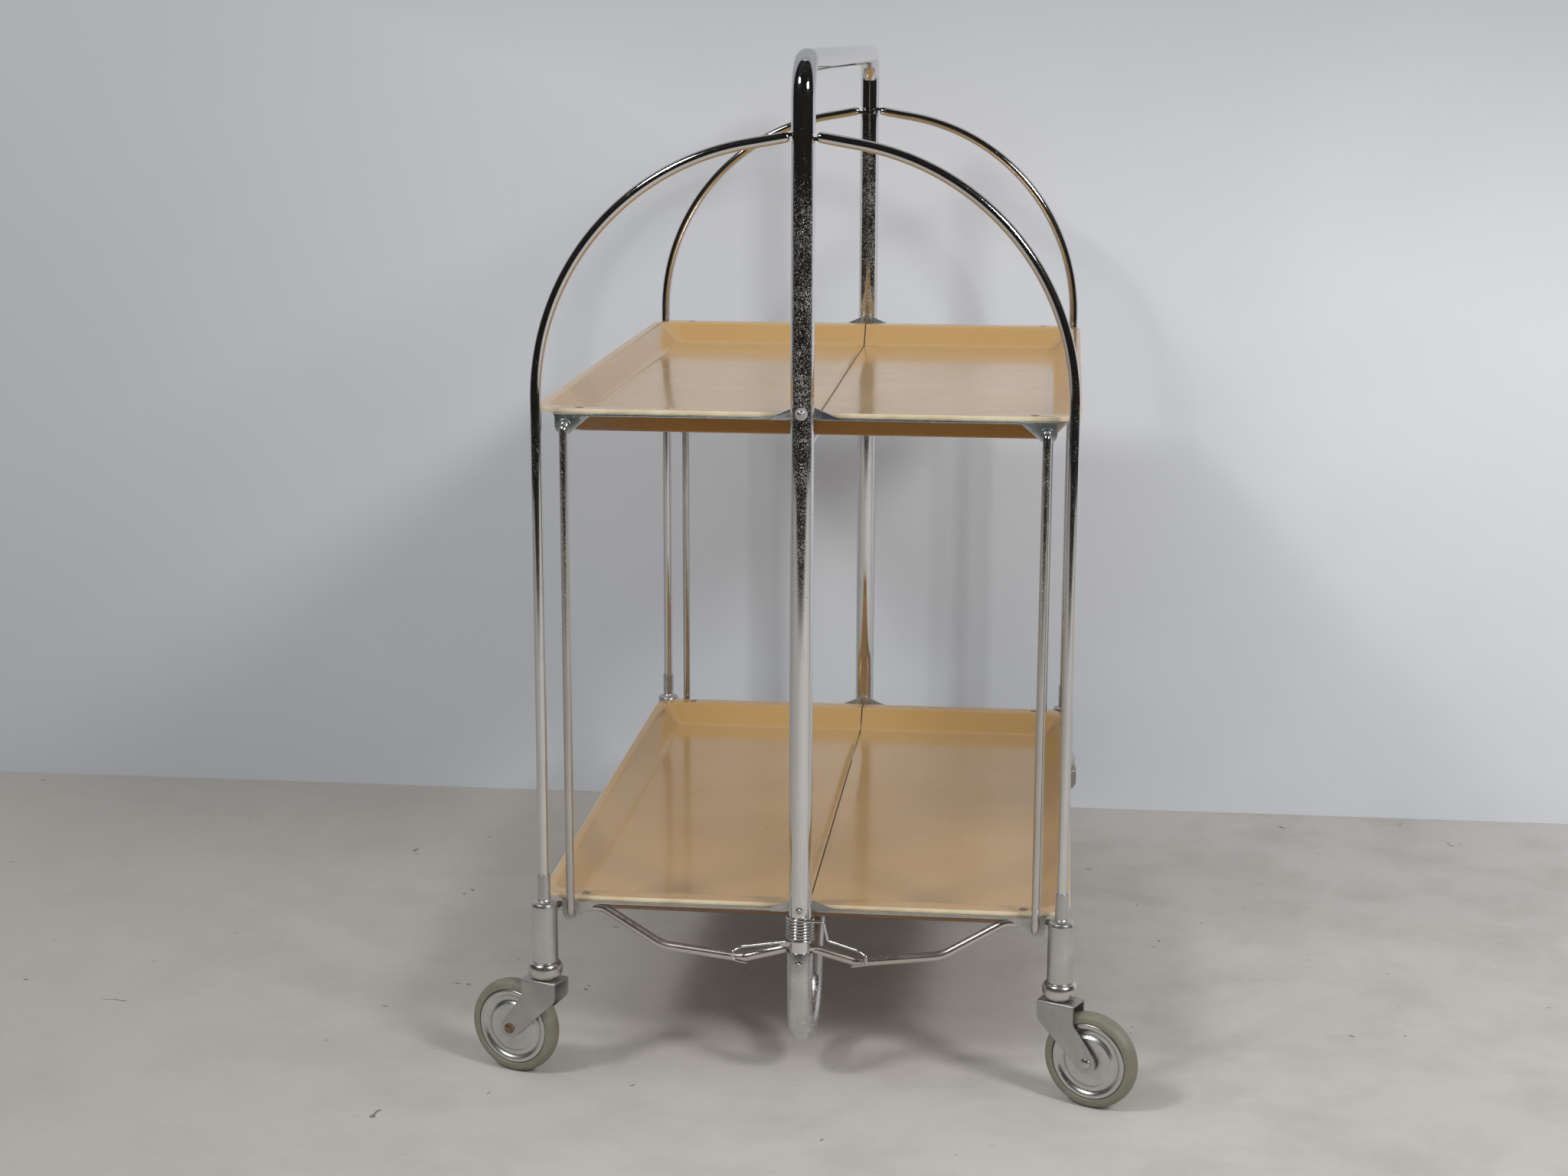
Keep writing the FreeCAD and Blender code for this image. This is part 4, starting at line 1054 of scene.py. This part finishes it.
def makeCurtain():
    # Painted shade: a dark curtain round the camera's side stands in for the unlit room and is seen by
    # polished metal alone, as a dark reflection: an upright band on a circle, from one side of the wall round
    # to the other.
    look = Named(
        radius=2.75, spread=108.0, top=3.0, roof=0.3, count=60, colour=(0.012, 0.011, 0.010),
        pale=(0.03, 0.027, 0.024))
    a = np.radians(np.linspace(-look.spread, look.spread, look.count) - 90)
    low = look.radius * np.stack([np.cos(a), np.sin(a), 0 * a], 1)
    roof = low * np.array([0.02, 0.02, 0]) + np.array([0, 0, look.top + look.roof])
    points = np.concatenate([low, low + np.array([0, 0, look.top]), roof])
    mesh = bpy.data.meshes.new("curtain")
    mesh.from_pydata(points, [], gridFaces(3, look.count, False).tolist())
    curtain = addObject("curtain", mesh)
    material, net, bsdf, coord = startMaterial("paintedShadeCurtain", Roughness=1.0, Specular_IOR_Level=0.0)
    net.put(bsdf, Base_Color=net.mixColour(net.noise(coord, 6.0), look.colour, look.pale))
    mesh.materials.append(material)
    for ray in ("camera", "diffuse", "transmission", "volume_scatter", "shadow"):
        setattr(curtain, "visible_" + ray, False)


def makeWorld():
    # Pale room all round, a little cooler overhead.
    look = Named(low=(0.72, 0.73, 0.75), high=(0.80, 0.83, 0.88), strength=0.78)
    world = bpy.data.worlds.new("studio")
    world.use_nodes = True
    bpy.context.scene.world = world
    net = Net(world.node_tree)
    high = net.mapRange(net.split(net.place("Generated"))[2], -0.1, 0.9, smooth=True)
    net.put(world.node_tree.nodes["Background"], Strength=look.strength,
            Color=net.mixColour(high, look.low, look.high))


def makeCamera():
    look = Named(
        place=(0.17956, -2.0988, 0.7676), focal=3370.2, width=2048, pitch=-12.152, yaw=-6.118, roll=0.15)
    yaw, pitch, roll = map(math.radians, (look.yaw, look.pitch, look.roll))
    forward = Vector((math.sin(yaw) * math.cos(pitch), math.cos(yaw) * math.cos(pitch), math.sin(pitch)))
    right = Vector((math.cos(yaw), -math.sin(yaw), 0))
    up = right.cross(forward)
    right, up = right * math.cos(roll) + up * math.sin(roll), up * math.cos(roll) - right * math.sin(roll)
    data = bpy.data.cameras.new("camera")
    data.sensor_width = 36.0
    data.lens = look.focal / look.width * data.sensor_width
    camera = addObject("camera", data)
    turn = Matrix((right, up, -forward)).transposed().to_4x4()
    camera.matrix_world = Matrix.Translation(look.place) @ turn
    bpy.context.scene.camera = camera


makeRoom()
makeLamp("leftLamp", (-1.55, -1.8, 2.46), 30)
makeLamp("rightLamp", (1.75, -1.8, 1.91), 34)
makeCurtain()
makeWorld()
makeCamera()
bpy.context.scene.view_settings.view_transform = "Standard"
print("room, lamps and camera made")

bpy.context.view_layer.update()
